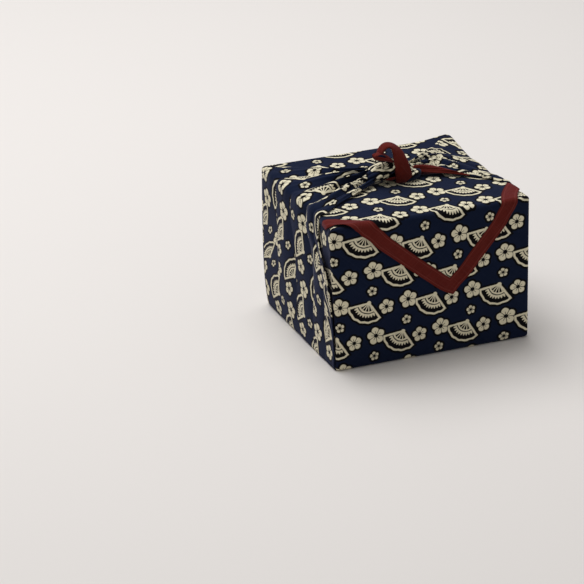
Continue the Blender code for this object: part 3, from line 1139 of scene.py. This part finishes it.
class NodeSheet:
    """The nodes of one material."""

    def __init__(self, name: str) -> None:
        """Makes a material with its Principled shader.

        Args:
            name: The material's name.
        """
        self.material = bpy.data.materials.new(name)
        self.material.use_nodes = True
        self.tree = self.material.node_tree
        self.shader = self.tree.nodes["Principled BSDF"]

    def add(
        self,
        kind: str,
        settings: dict | None = None,
        inputs: dict | None = None,
        output: int | str = 0,
    ) -> Wire:
        """Adds a node.

        Args:
            kind: The node's type.
            settings: Its settings, which are set first.
            inputs: The values or wires of its sockets, by name or number.
            output: The output to use, by name or number.

        Returns:
            The output as a wire.
        """
        node = self.tree.nodes.new(kind)
        for key, value in (settings or {}).items():
            setattr(node, key, value)
        for key, value in (inputs or {}).items():
            self.feed(node.inputs[key], value)
        return Wire(self, node.outputs[output])

    def feed(self, socket: bpy.types.NodeSocket, value: float | tuple | Wire) -> None:
        """Sets a socket, or links a wire to it.

        Args:
            socket: The socket.
            value: Its number or colour, or the wire that leads to it.
        """
        if isinstance(value, Wire):
            self.tree.links.new(value.socket, socket)
        elif isinstance(value, tuple) and len(value) == 3 and socket.type == "RGBA":
            socket.default_value = (*value, 1)
        else:
            socket.default_value = value

    def surface(self, **values: float | tuple | Wire) -> None:
        """Feeds the shader's own sockets, named with underscores for spaces."""
        for name, value in values.items():
            self.feed(self.shader.inputs[name.replace("_", " ")], value)

    def blend(self, factor: float | Wire, first: tuple | Wire, second: tuple | Wire) -> Wire:
        """Blends two colours."""
        settings = {"data_type": "RGBA", "blend_type": "MIX"}
        return self.add("ShaderNodeMix", settings, {0: factor, 6: first, 7: second}, 2)

    def varied(self, share: Wire, colour: tuple, tones: tuple) -> Wire:
        """A colour that varies between a darker and a lighter tone."""
        return self.blend(share, *(toned(colour, gain) for gain in tones))

    def place(self, u: float | Wire, v: float | Wire) -> Wire:
        """A vector from its parts."""
        return self.add("ShaderNodeCombineXYZ", None, {0: u, 1: v, 2: 0.0})

    def own_place(self) -> Wire:
        """The piece's own coordinates."""
        return self.add("ShaderNodeTexCoord", None, None, "Object")

    def cloudy(self, where: Wire, scale: float, detail: float = 2.0) -> Wire:
        """Soft noise from nought to one."""
        inputs = {"Vector": where, "Scale": scale, "Detail": detail}
        return self.add("ShaderNodeTexNoise", None, inputs)

    def bump(self, strength: float, distance: float, height: Wire) -> Wire:
        """The normal of a surface with a relief."""
        inputs = {"Strength": strength, "Distance": distance, "Height": height}
        return self.add("ShaderNodeBump", None, inputs)

    def map_parts(self, name: str) -> tuple[Wire, Wire]:
        """The two parts of one of the piece's own maps.

        Args:
            name: The map's name.

        Returns:
            Its parts, across and along.
        """
        place = self.add("ShaderNodeUVMap", {"uv_map": name})
        parts = self.add("ShaderNodeSeparateXYZ", None, {0: place})
        return parts, Wire(self, parts.socket.node.outputs[1])


@dataclass(frozen=True)
class CottonPrint:
    """The print: outlined folding fans and solid plum blossoms on indigo, in millimetres."""

    cell_across: float = 50.0
    cell_along: float = 47.0
    blossoms: tuple = ((0.50, 0.13, 8.9), (0.24, 0.53, 7.6), (-0.22, 0.47, 4.6))
    petal_middle: float = 0.60
    petal_radius: float = 0.405
    petal_gap: float = 0.32
    eye: float = 0.20
    eye_line: float = 0.38
    stamen_line: float = 0.26
    stamen_from: float = 0.26
    stamen_to: float = 0.56
    fan_turn: float = 0.34
    fan_radius: float = 20.5
    fan_inner: float = 9.5
    fan_half_angle: float = radians(58)
    fan_start: tuple = (2.0, 6.5)
    fan_rise: float = 7.0
    fan_pivot: tuple = (2.6, 1.5)
    half_folds: float = 2.5
    scallop: float = 3.2
    pivot: float = 2.1
    half_teeth: float = 5
    teeth_from: float = 11.4
    teeth_to: float = 15.2
    teeth_inset: float = 1.6
    tooth_width: float = 2.0
    tooth_foot: float = 11.2
    tooth_taper: float = 0.42
    line: float = 1.05
    arc_line: float = 0.8
    rib_line: float = 0.45
    halo: float = 2.1
    blur: float = 0.30

    def blossom(self, u: Wire, v: Wire, radius: float) -> tuple[Wire, Wire]:
        """A five-petalled blossom.

        Args:
            u: The way across from its middle.
            v: The way along from its middle.
            radius: Its size.

        Returns:
            How solid the print is there, and how dark the ground round it.
        """
        away = (u * u + v * v).maths("SQRT")
        petal = v.maths("ARCTAN2", u).folded(2 * pi / 5)
        middle = radius * self.petal_middle
        from_middle = away * away + middle * middle - 2 * middle * away * petal.maths("COSINE")
        outline = from_middle.most(0.0).maths("SQRT") - radius * self.petal_radius
        gap = away * (pi / 5 - petal.size()).maths("SINE") - self.petal_gap
        eye = (away - radius * self.eye).size() - self.eye_line
        stamen = (away * petal.maths("SINE")).size() - self.stamen_line
        stamen = stamen.most(away - radius * self.stamen_to).most(radius * self.stamen_from - away)
        solid = outline.below(0.0, self.blur)
        for line in (gap, eye, stamen):
            solid = solid * (1 - line.below(0.0, self.blur))
        return solid, outline.below(self.halo, self.blur)

    def fan(self, u: Wire, v: Wire) -> tuple[Wire, Wire]:
        """An open folding fan in outline, with a row of small points along its leaf.

        Args:
            u: The way across from its pivot.
            v: The way along from its pivot.

        Returns:
            How solid the print is there, and how dark the ground round it.
        """
        away = (u * u + v * v).maths("SQRT")
        turn = u.maths("ARCTAN2", v)
        fold = turn.folded(self.fan_half_angle / self.half_folds)
        beside = (turn.size() - self.fan_half_angle) * away
        inside = (away - (self.fan_radius - fold.size() * self.scallop)).most(beside)
        arc = (away - self.fan_inner).size().most(beside)
        ribs = (away * fold.maths("SINE")).size().most(away - self.fan_inner).most(beside)
        points = turn.folded(self.fan_half_angle / self.half_teeth).size() * away
        tooth = self.tooth_width - (away - self.tooth_foot) * self.tooth_taper
        teeth = (points - tooth).most(beside + self.teeth_inset)
        teeth = teeth.most(self.teeth_from - away).most(away - self.teeth_to)
        solid = inside.size().below(self.line, self.blur)
        pivot = away - self.pivot
        widths = (self.line * self.arc_line, self.line * self.rib_line, 0.0, 0.0)
        for shape, width in zip((arc, ribs, teeth, pivot), widths):
            solid = solid.most(shape.below(width, self.blur))
        return solid, inside.below(self.halo + self.line, self.blur)

    def marks(self, u: Wire, v: Wire) -> tuple[Wire, Wire]:
        """The whole print.

        Args:
            u: The way across the cloth, in millimetres.
            v: The way along it.

        Returns:
            How solid the print is, and how dark the ground is round it.
        """
        a, b = self.cell_across, self.cell_along
        start_u, start_v = self.fan_start
        fan_u, fan_v = (u + start_u).folded(a), (v + start_v).folded(b) + self.fan_rise
        across = fan_u * cos(self.fan_turn) - fan_v * sin(self.fan_turn)
        along = fan_u * sin(self.fan_turn) + fan_v * cos(self.fan_turn)
        pivot_u, pivot_v = self.fan_pivot
        solid, halo = self.fan(across + pivot_u, along + pivot_v)
        for right, up, radius in self.blossoms:
            petals, shade = self.blossom((u - a * right).folded(a), (v - b * up).folded(b), radius)
            solid, halo = solid.most(petals), halo.most(shade)
        return solid, halo


@dataclass(frozen=True)
class PrintedCotton:
    """Slubby printed cotton with a red border: the face, or the paler reverse.

    A cloud is a noise's scale and detail, tones are the darker and lighter shares of a dye, a
    line is its half width and how far its edge is blurred, roughness is its least and what a
    cloud adds, and relief is the bump's strength and distance.
    """

    name: str
    fade: float = 0.0
    indigo: tuple = (0.0078, 0.0126, 0.0318)
    ground: tuple = (0.0046, 0.0044, 0.0050)
    cream: tuple = (0.785, 0.722, 0.528)
    red: tuple = (0.112, 0.0155, 0.0115)
    washed: tuple = (0.36, 0.34, 0.33)
    thread: tuple = (0.16, 0.16, 0.19)
    sewn: tuple = (0.21, 0.050, 0.040)
    indigo_cloud: tuple = (42, 4)
    indigo_tones: tuple = (0.86, 1.16)
    cream_cloud: tuple = (190, 4)
    cream_tones: tuple = (0.84, 1.06)
    red_cloud: tuple = (75, 3)
    red_tones: tuple = (0.80, 1.18)
    wobble_cloud: tuple = (260, 3)
    wobble: float = 0.9
    crease_cloud: tuple = (55, 5)
    border: float = 0.0147
    border_blur: float = 0.00025
    seam_line: tuple = (0.0004, 0.0003)
    seam_shows: float = 0.55
    hem: float = 0.0040
    hem_blur: float = 0.0003
    stitch: float = 0.0024
    stitch_rate: float = 420
    stitch_dye: tuple = (0.00030, 0.00025)
    stitch_shows: float = 0.5
    stitch_line: tuple = (0.0004, 0.0002)
    stitch_gap: tuple = (0.2, 0.3)
    weave_pitch: float = 0.0008
    slub_rates: tuple = (900, 26)
    slub_from: float = 0.55
    slub_gain: float = 3
    slub_shows: float = 0.040
    slub_shows_red: float = 0.34
    weave_high: float = 0.05
    slub_high: float = 0.10
    crease_high: float = 1.6
    hem_high: float = 0.45
    stitch_deep: float = 0.4
    relief: tuple = (0.75, 0.0006)
    roughness: tuple = (0.66, 0.12)
    sheen: float = 0.12
    sheen_tint: tuple = (0.72, 0.72, 1.0)
    sheen_roughness: float = 0.42
    motifs: CottonPrint = CottonPrint()

    def make(self) -> bpy.types.Material:
        """Builds the material.

        Returns:
            The material, which reads the piece's two maps.
        """
        nodes = NodeSheet(self.name)
        u, v = nodes.map_parts("cloth")
        left, right = nodes.map_parts("edges")
        place, nearest = nodes.place(u, v), left.least(right)
        wobble = (nodes.cloudy(place, *self.wobble_cloud) - 0.5) * self.wobble
        marks, halo = self.motifs.marks(u * 1000 + wobble, v * 1000 + wobble)
        slub = self._slubs(nodes, u, v)
        patchy = nodes.cloudy(place, *self.cream_cloud)
        blotchy = nodes.cloudy(place, *self.indigo_cloud)
        blue = nodes.varied(blotchy, self.indigo, self.indigo_tones)
        cream = nodes.varied(patchy, self.cream, self.cream_tones)
        printed = nodes.blend(marks, nodes.blend(halo, blue, self.ground), cream)
        red = nodes.varied(nodes.cloudy(place, *self.red_cloud), self.red, self.red_tones)
        red = nodes.blend(slub * self.slub_shows_red, red, self.sewn)
        coloured = nodes.blend(nearest.below(self.border, self.border_blur), printed, red)
        seam = (nearest - self.border).size().below(*self.seam_line)
        coloured = nodes.blend(seam * self.seam_shows, coloured, self.ground)
        sewn = (nearest - self.stitch).size().least((nearest - self.border + self.stitch).size())
        sewn = sewn.below(*self.stitch_dye) * self.stitch_shows
        coloured = nodes.blend(sewn, coloured, self.sewn)
        streaked = nodes.blend(slub * self.slub_shows, coloured, self.thread)
        nodes.surface(
            Base_Color=nodes.blend(self.fade, streaked, self.washed),
            Roughness=patchy.ranged(self.roughness),
            Sheen_Weight=self.sheen,
            Sheen_Tint=self.sheen_tint,
            Sheen_Roughness=self.sheen_roughness,
            Specular_IOR_Level=0.0,
            Normal=nodes.bump(*self.relief, self._relief(nodes, u, v, nearest, slub)),
        )
        return nodes.material

    def _slubs(self, nodes: NodeSheet, u: Wire, v: Wire) -> Wire:
        """Uneven threads that run both ways of the cloth.

        Args:
            nodes: The material's nodes.
            u: The way across the cloth, in metres.
            v: The way along it.

        Returns:
            How thick the threads are.
        """
        along, across = self.slub_rates
        warp = nodes.cloudy(nodes.place(u * along, v * across), 1.0, 2)
        weft = nodes.cloudy(nodes.place(u * across, v * along), 1.0, 2)
        thick = [((thread - self.slub_from) * self.slub_gain).most(0.0) for thread in (warp, weft)]
        return thick[0].most(thick[1])

    def _relief(self, nodes: NodeSheet, u: Wire, v: Wire, nearest: Wire, slub: Wire) -> Wire:
        """The weave, the hem with its stitches and the small creases.

        Args:
            nodes: The material's nodes.
            u: The way across the cloth, in metres.
            v: The way along it.
            nearest: The way to the nearest cut edge.
            slub: How thick the threads are.

        Returns:
            The height of the relief.
        """
        thread = 2 * pi / self.weave_pitch
        weave = (u * thread).maths("SINE") * (v * thread).maths("SINE")
        crease = nodes.cloudy(nodes.place(u, v), *self.crease_cloud)
        hem = nearest.below(self.hem, self.hem_blur)
        along = (u * self.stitch_rate).maths("SINE") + (v * self.stitch_rate).maths("SINE")
        stitches = (nearest - self.stitch).size().below(*self.stitch_line)
        stitches = stitches * along.below(*self.stitch_gap)
        woven = weave * self.weave_high + slub * self.slub_high
        return woven + crease * self.crease_high + hem * self.hem_high - stitches * self.stitch_deep


@dataclass(frozen=True)
class Paperboard:
    """Plain grey-brown card, with its fibres."""

    colour: tuple = (0.42, 0.33, 0.22)
    tones: tuple = (0.82, 1.12)
    fibre_cloud: tuple = (420, 6)
    fibre_share: float = 0.6
    fleck_cloud: tuple = (90, 3)
    fleck_share: float = 0.4
    roughness: tuple = (0.78, 0.15)
    relief: tuple = (0.4, 0.0002)

    def make(self) -> bpy.types.Material:
        """Builds the material.

        Returns:
            The material, on the piece's own coordinates.
        """
        nodes = NodeSheet("paperboard")
        here = nodes.own_place()
        fibres = nodes.cloudy(here, *self.fibre_cloud)
        flecks = nodes.cloudy(here, *self.fleck_cloud)
        share = fibres * self.fibre_share + flecks * self.fleck_share
        nodes.surface(
            Base_Color=nodes.varied(share, self.colour, self.tones),
            Roughness=fibres.ranged(self.roughness),
            Normal=nodes.bump(*self.relief, fibres),
        )
        return nodes.material


FRONT_END = rows_of(
    Bend,
    (42, 36, 16, -4, -22, -60, -118, -170, -200),
    (-95, -130, -146, -132, -96, -55, -34, -34, -42),
    (15, 65, 150, 250, 335, 392, 404, 372, 320),
    (150, 172, 166, 150, 132, 118, 112, 104, 94),
    (34, 38, 38, 36, 34, 32, 32, 32, 34),
    degrees=((0, 0, 2, 8, 26, 58, 82, 90, 94), (-4, -2, 0, 0, 0, 0, 0, 0, 0)),
)
TIP = rows_of(
    Bend,
    (-268, -254, -212, -165, -122, -86, -72),
    (-52, -54, -66, -80, -94, -102, -104),
    (308, 311, 309, 300, 282, 258, 247),
    (50, 94, 122, 128, 100, 50, 16),
    (46, 74, 92, 84, 60, 32, 16),
    degrees=((78, 78, 78, 78, 78, 78, 78), (0, 0, 0, 0, 0, 0, 0)),
)
KNOT_BODY = rows_of(
    Bend,
    (-280, -180, -70, 40, 130, 240),
    (90, 70, 50, 50, 60, 80),
    (50, 85, 115, 115, 85, 55),
    (180, 210, 240, 240, 220, 190),
    (90, 150, 205, 205, 150, 95),
    degrees=((90, 90, 90, 90, 90, 90), (0, 0, 0, 0, 0, 0)),
)
KNOT_WRAP = rows_of(
    Bend,
    (-330, -270, -200, -125, -40, 40),
    (30, -10, -50, -75, -60, -5),
    (30, 85, 135, 175, 205, 185),
    (150, 165, 175, 165, 150, 135),
    (70, 100, 120, 120, 110, 100),
    degrees=((60, 60, 62, 66, 70, 80), (10, 20, 28, 24, 10, 0)),
)
KNOT_TURN = rows_of(
    Bend,
    (60, 120, 175, 215, 235),
    (-85, -95, -75, -20, 40),
    (30, 62, 68, 60, 50),
    (80, 100, 110, 110, 100),
    (70, 100, 110, 100, 80),
    degrees=((90, 90, 110, 140, 160), (0, 0, 0, 0, 0)),
)
KNOT_HEM = rows_of(
    Bend,
    (-150, -110, -60),
    (-100, -122, -128),
    (70, 78, 86),
    (24, 50, 44),
    (12, 16, 16),
    degrees=((60, 60, 60), (-50, -50, -50)),
)
BACK_END = rows_of(
    Bend,
    (40, 80, 115, 130, 135),
    (60, 150, 240, 320, 380),
    (150, 150, 110, 65, 35),
    (130, 150, 160, 150, 100),
    (65, 65, 60, 55, 45),
    degrees=((0, 0, 0, 0, 0), (0, 6, 10, 10, 6)),
)


@dataclass
class Strand:
    """A run of cloth through the knot, on a smooth curve through its bends.

    thread_turn is the cosine and the sine of the turn between the run and the threads.
    """

    form: Form
    name: str
    bends: list[Bend]
    start: tuple[float, float] = (0.0, 0.0)
    steps: int = 10
    around: int = 72
    underside: float = pi * 1.5
    thread_turn: tuple = (0.8, 0.6)

    def size(self, angle: float, share: float) -> float:
        """How far out the cloth lies at a way round, as a share of the plain oval."""
        return 1.0

    def section(self, row: Bend, angle: float, share: float) -> tuple[float, float]:
        """Where the cloth lies round a cross-section.

        Args:
            row: The cross-section.
            angle: The way round it.
            share: The share of the way along the run.

        Returns:
            The way along its width and through its thickness.
        """
        size = self.size(angle, share)
        return cos(angle) * row.width / 2 * size, sin(angle) * row.thick / 2 * size

    def angles(self) -> list[float]:
        """The ways round a cross-section, both ends included."""
        return spaced(0, 2 * pi, self.around)

    def near(self, angle: float, around: float) -> float:
        """How far the cloth is from its cut edge, at a way round."""
        return FAR_FROM_EDGE

    def close(self, mesh: ClothMesh, rings: list[list]) -> None:
        """Closes the run's ends, and its seam.

        Args:
            mesh: The mesh that is being made.
            rings: Its cross-sections' points.
        """
        near = self.near(self.underside, 0)
        for ring in (rings[0], rings[-1]):
            for loop in mesh.made.faces.new(ring[:-1]).loops:
                loop[mesh.edge_map].uv = (near, near)
        mesh.weld()
        bmesh.ops.recalc_face_normals(mesh.made, faces=mesh.made.faces)

    def rows(self) -> list[Bend]:
        """The bends with more between them, on a smooth curve through them all.

        Returns:
            The cross-sections, in order.
        """
        padded = [self.bends[0], *self.bends, self.bends[-1]]
        made = []
        for a, b, c, d in zip(padded, padded[1:], padded[2:], padded[3:]):
            for t in spaced(0, 1, self.steps)[:-1]:
                columns = zip(a, b, c, d)
                values = [hermite(q, r, (r - p) / 2, (s - q) / 2, t) for p, q, r, s in columns]
                made.append(Bend(*values))
        return [*made, self.bends[-1]]

    def build(self, materials: Iterable[bpy.types.Material]) -> bpy.types.Object:
        """Makes the run of cloth.

        Args:
            materials: Its finishes.

        Returns:
            The finished object.
        """
        rows = self.rows()
        last = len(rows) - 1
        centres = [Vector((row.x, row.y, self.form.height + row.above)) for row in rows]
        rings, reached = [], 0.0
        for i, (row, centre) in enumerate(zip(rows, centres)):
            reached += (centre - centres[max(i - 1, 0)]).length
            ahead = (centres[min(i + 1, last)] - centres[max(i - 1, 0)]).normalized()
            rings.append(self._ring(row, centre, ahead, reached, i / last))
        mesh = ClothMesh(self.form)
        self.close(mesh, mesh.add(rings))
        return mesh.finish(self.name, materials)

    def _ring(
        self, row: Bend, centre: Vector, ahead: Vector, reached: float, share: float
    ) -> list[Spot]:
        """One cross-section.

        Args:
            row: Its size and the way it is turned.
            centre: Its middle.
            ahead: The way the cloth runs.
            reached: The way along the run.
            share: The share of the way along the run.

        Returns:
            Its points.
        """
        turn, lean = radians(row.turn), radians(row.lean)
        thread_cos, thread_sin = self.thread_turn
        side = Vector((cos(turn), sin(turn), 0))
        wide = (side - ahead * side.dot(ahead)).normalized()
        thick = ahead.cross(wide)
        wide, thick = wide * cos(lean) + thick * sin(lean), thick * cos(lean) - wide * sin(lean)
        ring: list[Spot] = []
        around = 0.0
        for angle in self.angles():
            x, y = self.section(row, angle, share)
            point = centre + wide * x + thick * y
            around += (point - ring[-1].point).length if ring else 0.0
            along = reached * thread_cos - around * thread_sin
            past = around * thread_cos + reached * thread_sin
            near = self.near(angle, around)
            ring.append(Spot(point, (self.start[0] + past, self.start[1] + along), (near, near)))
        return ring


@dataclass
class Gathered(Strand):
    """A bunched run of cloth, closed, with sharp valleys between its folds."""

    folds: int = 5
    fold_depth: float = 0.2
    fold_power: float = 1.5
    sway: float = 0.5
    twist: float = 1.5
    end_size: float = 0.6
    end_share: float = 0.06
    hem: bool = False

    def size(self, angle: float, share: float) -> float:
        """How far out the cloth lies, less in the valleys between its folds.

        Args:
            angle: The way round.
            share: The share of the way along the run.

        Returns:
            The share of the plain oval.
        """
        wander = self.sway * sin(angle * 2 + self.twist) + self.twist * share
        crest = abs(sin((self.folds * angle + wander * 2) / 2))
        size = 1 - self.fold_depth * (1 - crest) ** self.fold_power
        return size * mix(self.end_size, 1, ramp(min(share, 1 - share), 0, self.end_share))

    def near(self, angle: float, around: float) -> float:
        """How far the cloth is from its cut edge, at a way round."""
        return IN_BORDER if self.hem else FAR_FROM_EDGE


@dataclass
class Band(Strand):
    """A flat doubled run of the border, red outside and printed inside."""

    corner: float = 0.62
    dish: float = 0.07
    waver: float = 0.35
    waver_rates: tuple = (2.6, 4)
    rim: float = 0.25

    def section(self, row: Bend, angle: float, share: float) -> tuple[float, float]:
        """Where the cloth lies round a flat cross-section with firm corners.

        Args:
            row: The cross-section.
            angle: The way round it.
            share: The share of the way along the run.

        Returns:
            The way along its width and through its thickness.
        """
        round_it = (cos(angle), sin(angle))
        x, y = (abs(part) ** self.corner * (1 if part >= 0 else -1) for part in round_it)
        rate_across, rate_along = self.waver_rates
        wavering = self.waver * sin(rate_across * x + rate_along * share)
        crown = self.dish * row.width * (x * x + wavering)
        return x * row.width / 2, y * row.thick / 2 + crown

    def near(self, angle: float, around: float) -> float:
        """How far the cloth is from its cut edge, at a way round."""
        return FAR_FROM_EDGE if self.rim < angle < pi - self.rim else IN_BORDER


@dataclass
class Roll(Strand):
    """A free corner of one layer, rolled up on itself."""

    sweep: float = radians(455)
    begin: float = radians(160)
    tighten: float = 0.40
    flare: float = 0.05
    flare_rates: tuple = (5, 6)
    outer_edge: float = 0.001
    slant: float = 0.50

    def angles(self) -> list[float]:
        """The ways round the roll, from its outer edge to its inner one."""
        return spaced(self.begin, self.begin + self.sweep, self.around)

    def size(self, angle: float, share: float) -> float:
        """How far out the cloth lies round the roll, tighter the further in it is.

        Args:
            angle: The way round.
            share: The share of the way along the run.

        Returns:
            The share of the plain oval.
        """
        wound = (angle - self.begin) / self.sweep
        flaring = sin(self.flare_rates[0] * angle + self.flare_rates[1] * share)
        return 1 - self.tighten * wound + self.flare * flaring

    def near(self, angle: float, around: float) -> float:
        """How far the cloth is from its cut edge, which runs aslant of the roll."""
        return self.outer_edge + around * self.slant

    def close(self, mesh: ClothMesh, rings: list[list]) -> None:
        """Leaves the roll open."""


@dataclass
class Furoshiki:
    """The whole cloth: belt, arms and knot."""

    form: Form
    thickness: float = SHEET

    def build(self, face: bpy.types.Material, reverse: bpy.types.Material) -> bpy.types.Object:
        """Args:
            face: The finish of the printed side.
            reverse: The finish of the other side.

        Returns:
            The cloth.
        """
        cloth = self._wrapped([face, reverse])
        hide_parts("furoshiki_cloth")
        pieces = [self._owned(strand.build([face])) for strand in self._knot()]
        tip = Roll(self.form, "knot_tip", TIP).build([face, reverse])
        pieces.append(self._owned(self._thickened(tip)))
        return cloth

    def _wrapped(self, materials: list[bpy.types.Material]) -> bpy.types.Object:
        """The one sheet of belt and arms.

        Args:
            materials: The finishes of its two sides.

        Returns:
            The sheet.
        """
        form, mesh = self.form, ClothMesh(self.form)
        left = (LEFT_ARM, LEFT_VALLEYS, LEFT_CRESTS)
        right = (RIGHT_ARM, RIGHT_VALLEYS, RIGHT_CRESTS)
        Belt(form).dress(mesh)
        Arm(form, Side.LEFT, *left, soft_back=1.0, lip_rise=0.0018).dress(mesh)
        Arm(form, Side.RIGHT, *right, end_path=0.238, hem_from=0.176).dress(mesh)
        mesh.weld()
        return self._owned(self._thickened(mesh.finish("wrapped_cloth", materials)))

    def _knot(self) -> list[Strand]:
        """The closed runs of cloth that the knot is tied from.

        Returns:
            The runs, from the front end to the back end.
        """
        form = self.form
        return [
            Band(form, "knot_front_end", FRONT_END, (-0.010, -0.012)),
            Gathered(form, "knot_body", KNOT_BODY, (-0.030, 0.050), folds=7, fold_depth=0.16),
            Gathered(form, "knot_wrap", KNOT_WRAP, (-0.022, -0.020), folds=7, fold_depth=0.26),
            Gathered(form, "knot_turn", KNOT_TURN, (0.026, 0.020), folds=3, fold_depth=0.20),
            Gathered(form, "knot_hem", KNOT_HEM, folds=2, fold_depth=0.10, hem=True),
            Gathered(form, "knot_back_end", BACK_END, folds=3, fold_depth=0.14, hem=True),
        ]

    @staticmethod
    def _owned(piece: bpy.types.Object) -> bpy.types.Object:
        """Lets a piece of the cloth ride on the bundle.

        Args:
            piece: The piece.

        Returns:
            The same piece.
        """
        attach(piece, "root")
        LOG.info("cloth piece %s", piece.name)
        return piece

    def _thickened(self, piece: bpy.types.Object) -> bpy.types.Object:
        """Gives a sheet its thickness, with the reverse on its inner side.

        Args:
            piece: The sheet.

        Returns:
            The same sheet.
        """
        wall = piece.modifiers.new("thickness", "SOLIDIFY")
        wall.thickness = self.thickness
        wall.offset = -1
        wall.material_offset = 1
        return piece


class Lamp(NamedTuple):
    """A square light: where it stands, how wide it is, its power in watts and its colour."""

    name: str
    spot: tuple[float, float, float]
    size: float
    power: float
    colour: tuple[float, float, float]


@dataclass
class Studio:
    """The pale floor, the soft light and the camera."""

    form: Form
    eye: tuple = (-1.153, -2.453, 1.2425)
    tilt: float = radians(65.89)
    turn: float = radians(-23.05)
    lens: float = 184.9
    sensor: float = 36.0
    pale: tuple = (0.752, 0.720, 0.692)
    pale_cloud: tuple = (3.0, 2)
    pale_tones: tuple = (1, 1.01)
    pale_roughness: float = 0.9
    floor: float = 24.0
    surround: float = 0.30
    surround_colour: tuple = (1.0, 0.99, 0.98, 1)
    lamps: tuple = (
        Lamp("sky", (-0.5, 0.9, 2.4), 2.2, 67, (0.99, 0.99, 1.0)),
        Lamp("window", (-2.4, 0.3, 1.3), 1.4, 1.5, (1.0, 0.99, 0.97)),
        Lamp("fill", (1.2, -2.6, 1.1), 1.8, 3.5, (1.0, 0.97, 0.87)),
    )

    def build(self) -> None:
        """Makes all of it."""
        self._floor()
        for lamp in self.lamps:
            self._light(lamp)
        self._world()
        self._camera()

    def _floor(self) -> None:
        """A wide pale floor."""
        bpy.ops.mesh.primitive_plane_add(size=self.floor)
        backdrop = bpy.context.object
        backdrop.name = "backdrop"
        nodes = NodeSheet("pale_paper")
        mottle = nodes.cloudy(nodes.own_place(), *self.pale_cloud)
        paper = nodes.varied(mottle, self.pale, self.pale_tones)
        nodes.surface(Base_Color=paper, Roughness=self.pale_roughness)
        backdrop.data.materials.append(nodes.material)

    def _world(self) -> None:
        """The pale surround, and plain display of colour."""
        world = bpy.data.worlds.new("surround")
        bpy.context.scene.world = world
        world.use_nodes = True
        background = world.node_tree.nodes["Background"]
        background.inputs["Color"].default_value = self.surround_colour
        background.inputs["Strength"].default_value = self.surround
        bpy.context.scene.view_settings.view_transform = "Standard"

    def _light(self, lamp: Lamp) -> None:
        """One light that looks at the bundle.

        Args:
            lamp: Its place, width, power and colour.
        """
        light = bpy.data.lights.new(lamp.name, "AREA")
        light.size = lamp.size
        light.energy = lamp.power
        light.color = lamp.colour
        thing = bpy.data.objects.new(lamp.name, light)
        thing.location = lamp.spot
        aim = Vector((0, 0, self.form.height / 2)) - Vector(lamp.spot)
        thing.rotation_euler = aim.to_track_quat("-Z", "Y").to_euler()
        bpy.context.collection.objects.link(thing)

    def _camera(self) -> None:
        """The camera, a long lens a little above the bundle."""
        lens = bpy.data.cameras.new("camera")
        lens.lens = self.lens
        lens.sensor_width = self.sensor
        camera = bpy.data.objects.new("camera", lens)
        camera.location = Vector(self.eye) + self.form.middle
        camera.rotation_euler = (self.tilt, 0, self.turn)
        bpy.context.collection.objects.link(camera)
        bpy.context.scene.camera = camera


def main() -> None:
    """Builds and dresses everything."""
    logging.basicConfig(level=logging.INFO, format="%(name)s: %(message)s")
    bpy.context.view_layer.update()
    low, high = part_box("box")
    form = Form(Vector(((low.x + high.x) / 2, (low.y + high.y) / 2, 0)))
    face = PrintedCotton("printed_cotton").make()
    reverse = PrintedCotton("printed_cotton_reverse", fade=0.2).make()
    Furoshiki(form).build(face, reverse)
    card = Paperboard().make()
    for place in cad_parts["box"].material_slots:
        place.material = card
    LOG.info("box dressed in %s", card.name)
    Studio(form).build()


if __name__ == "__main__":
    main()
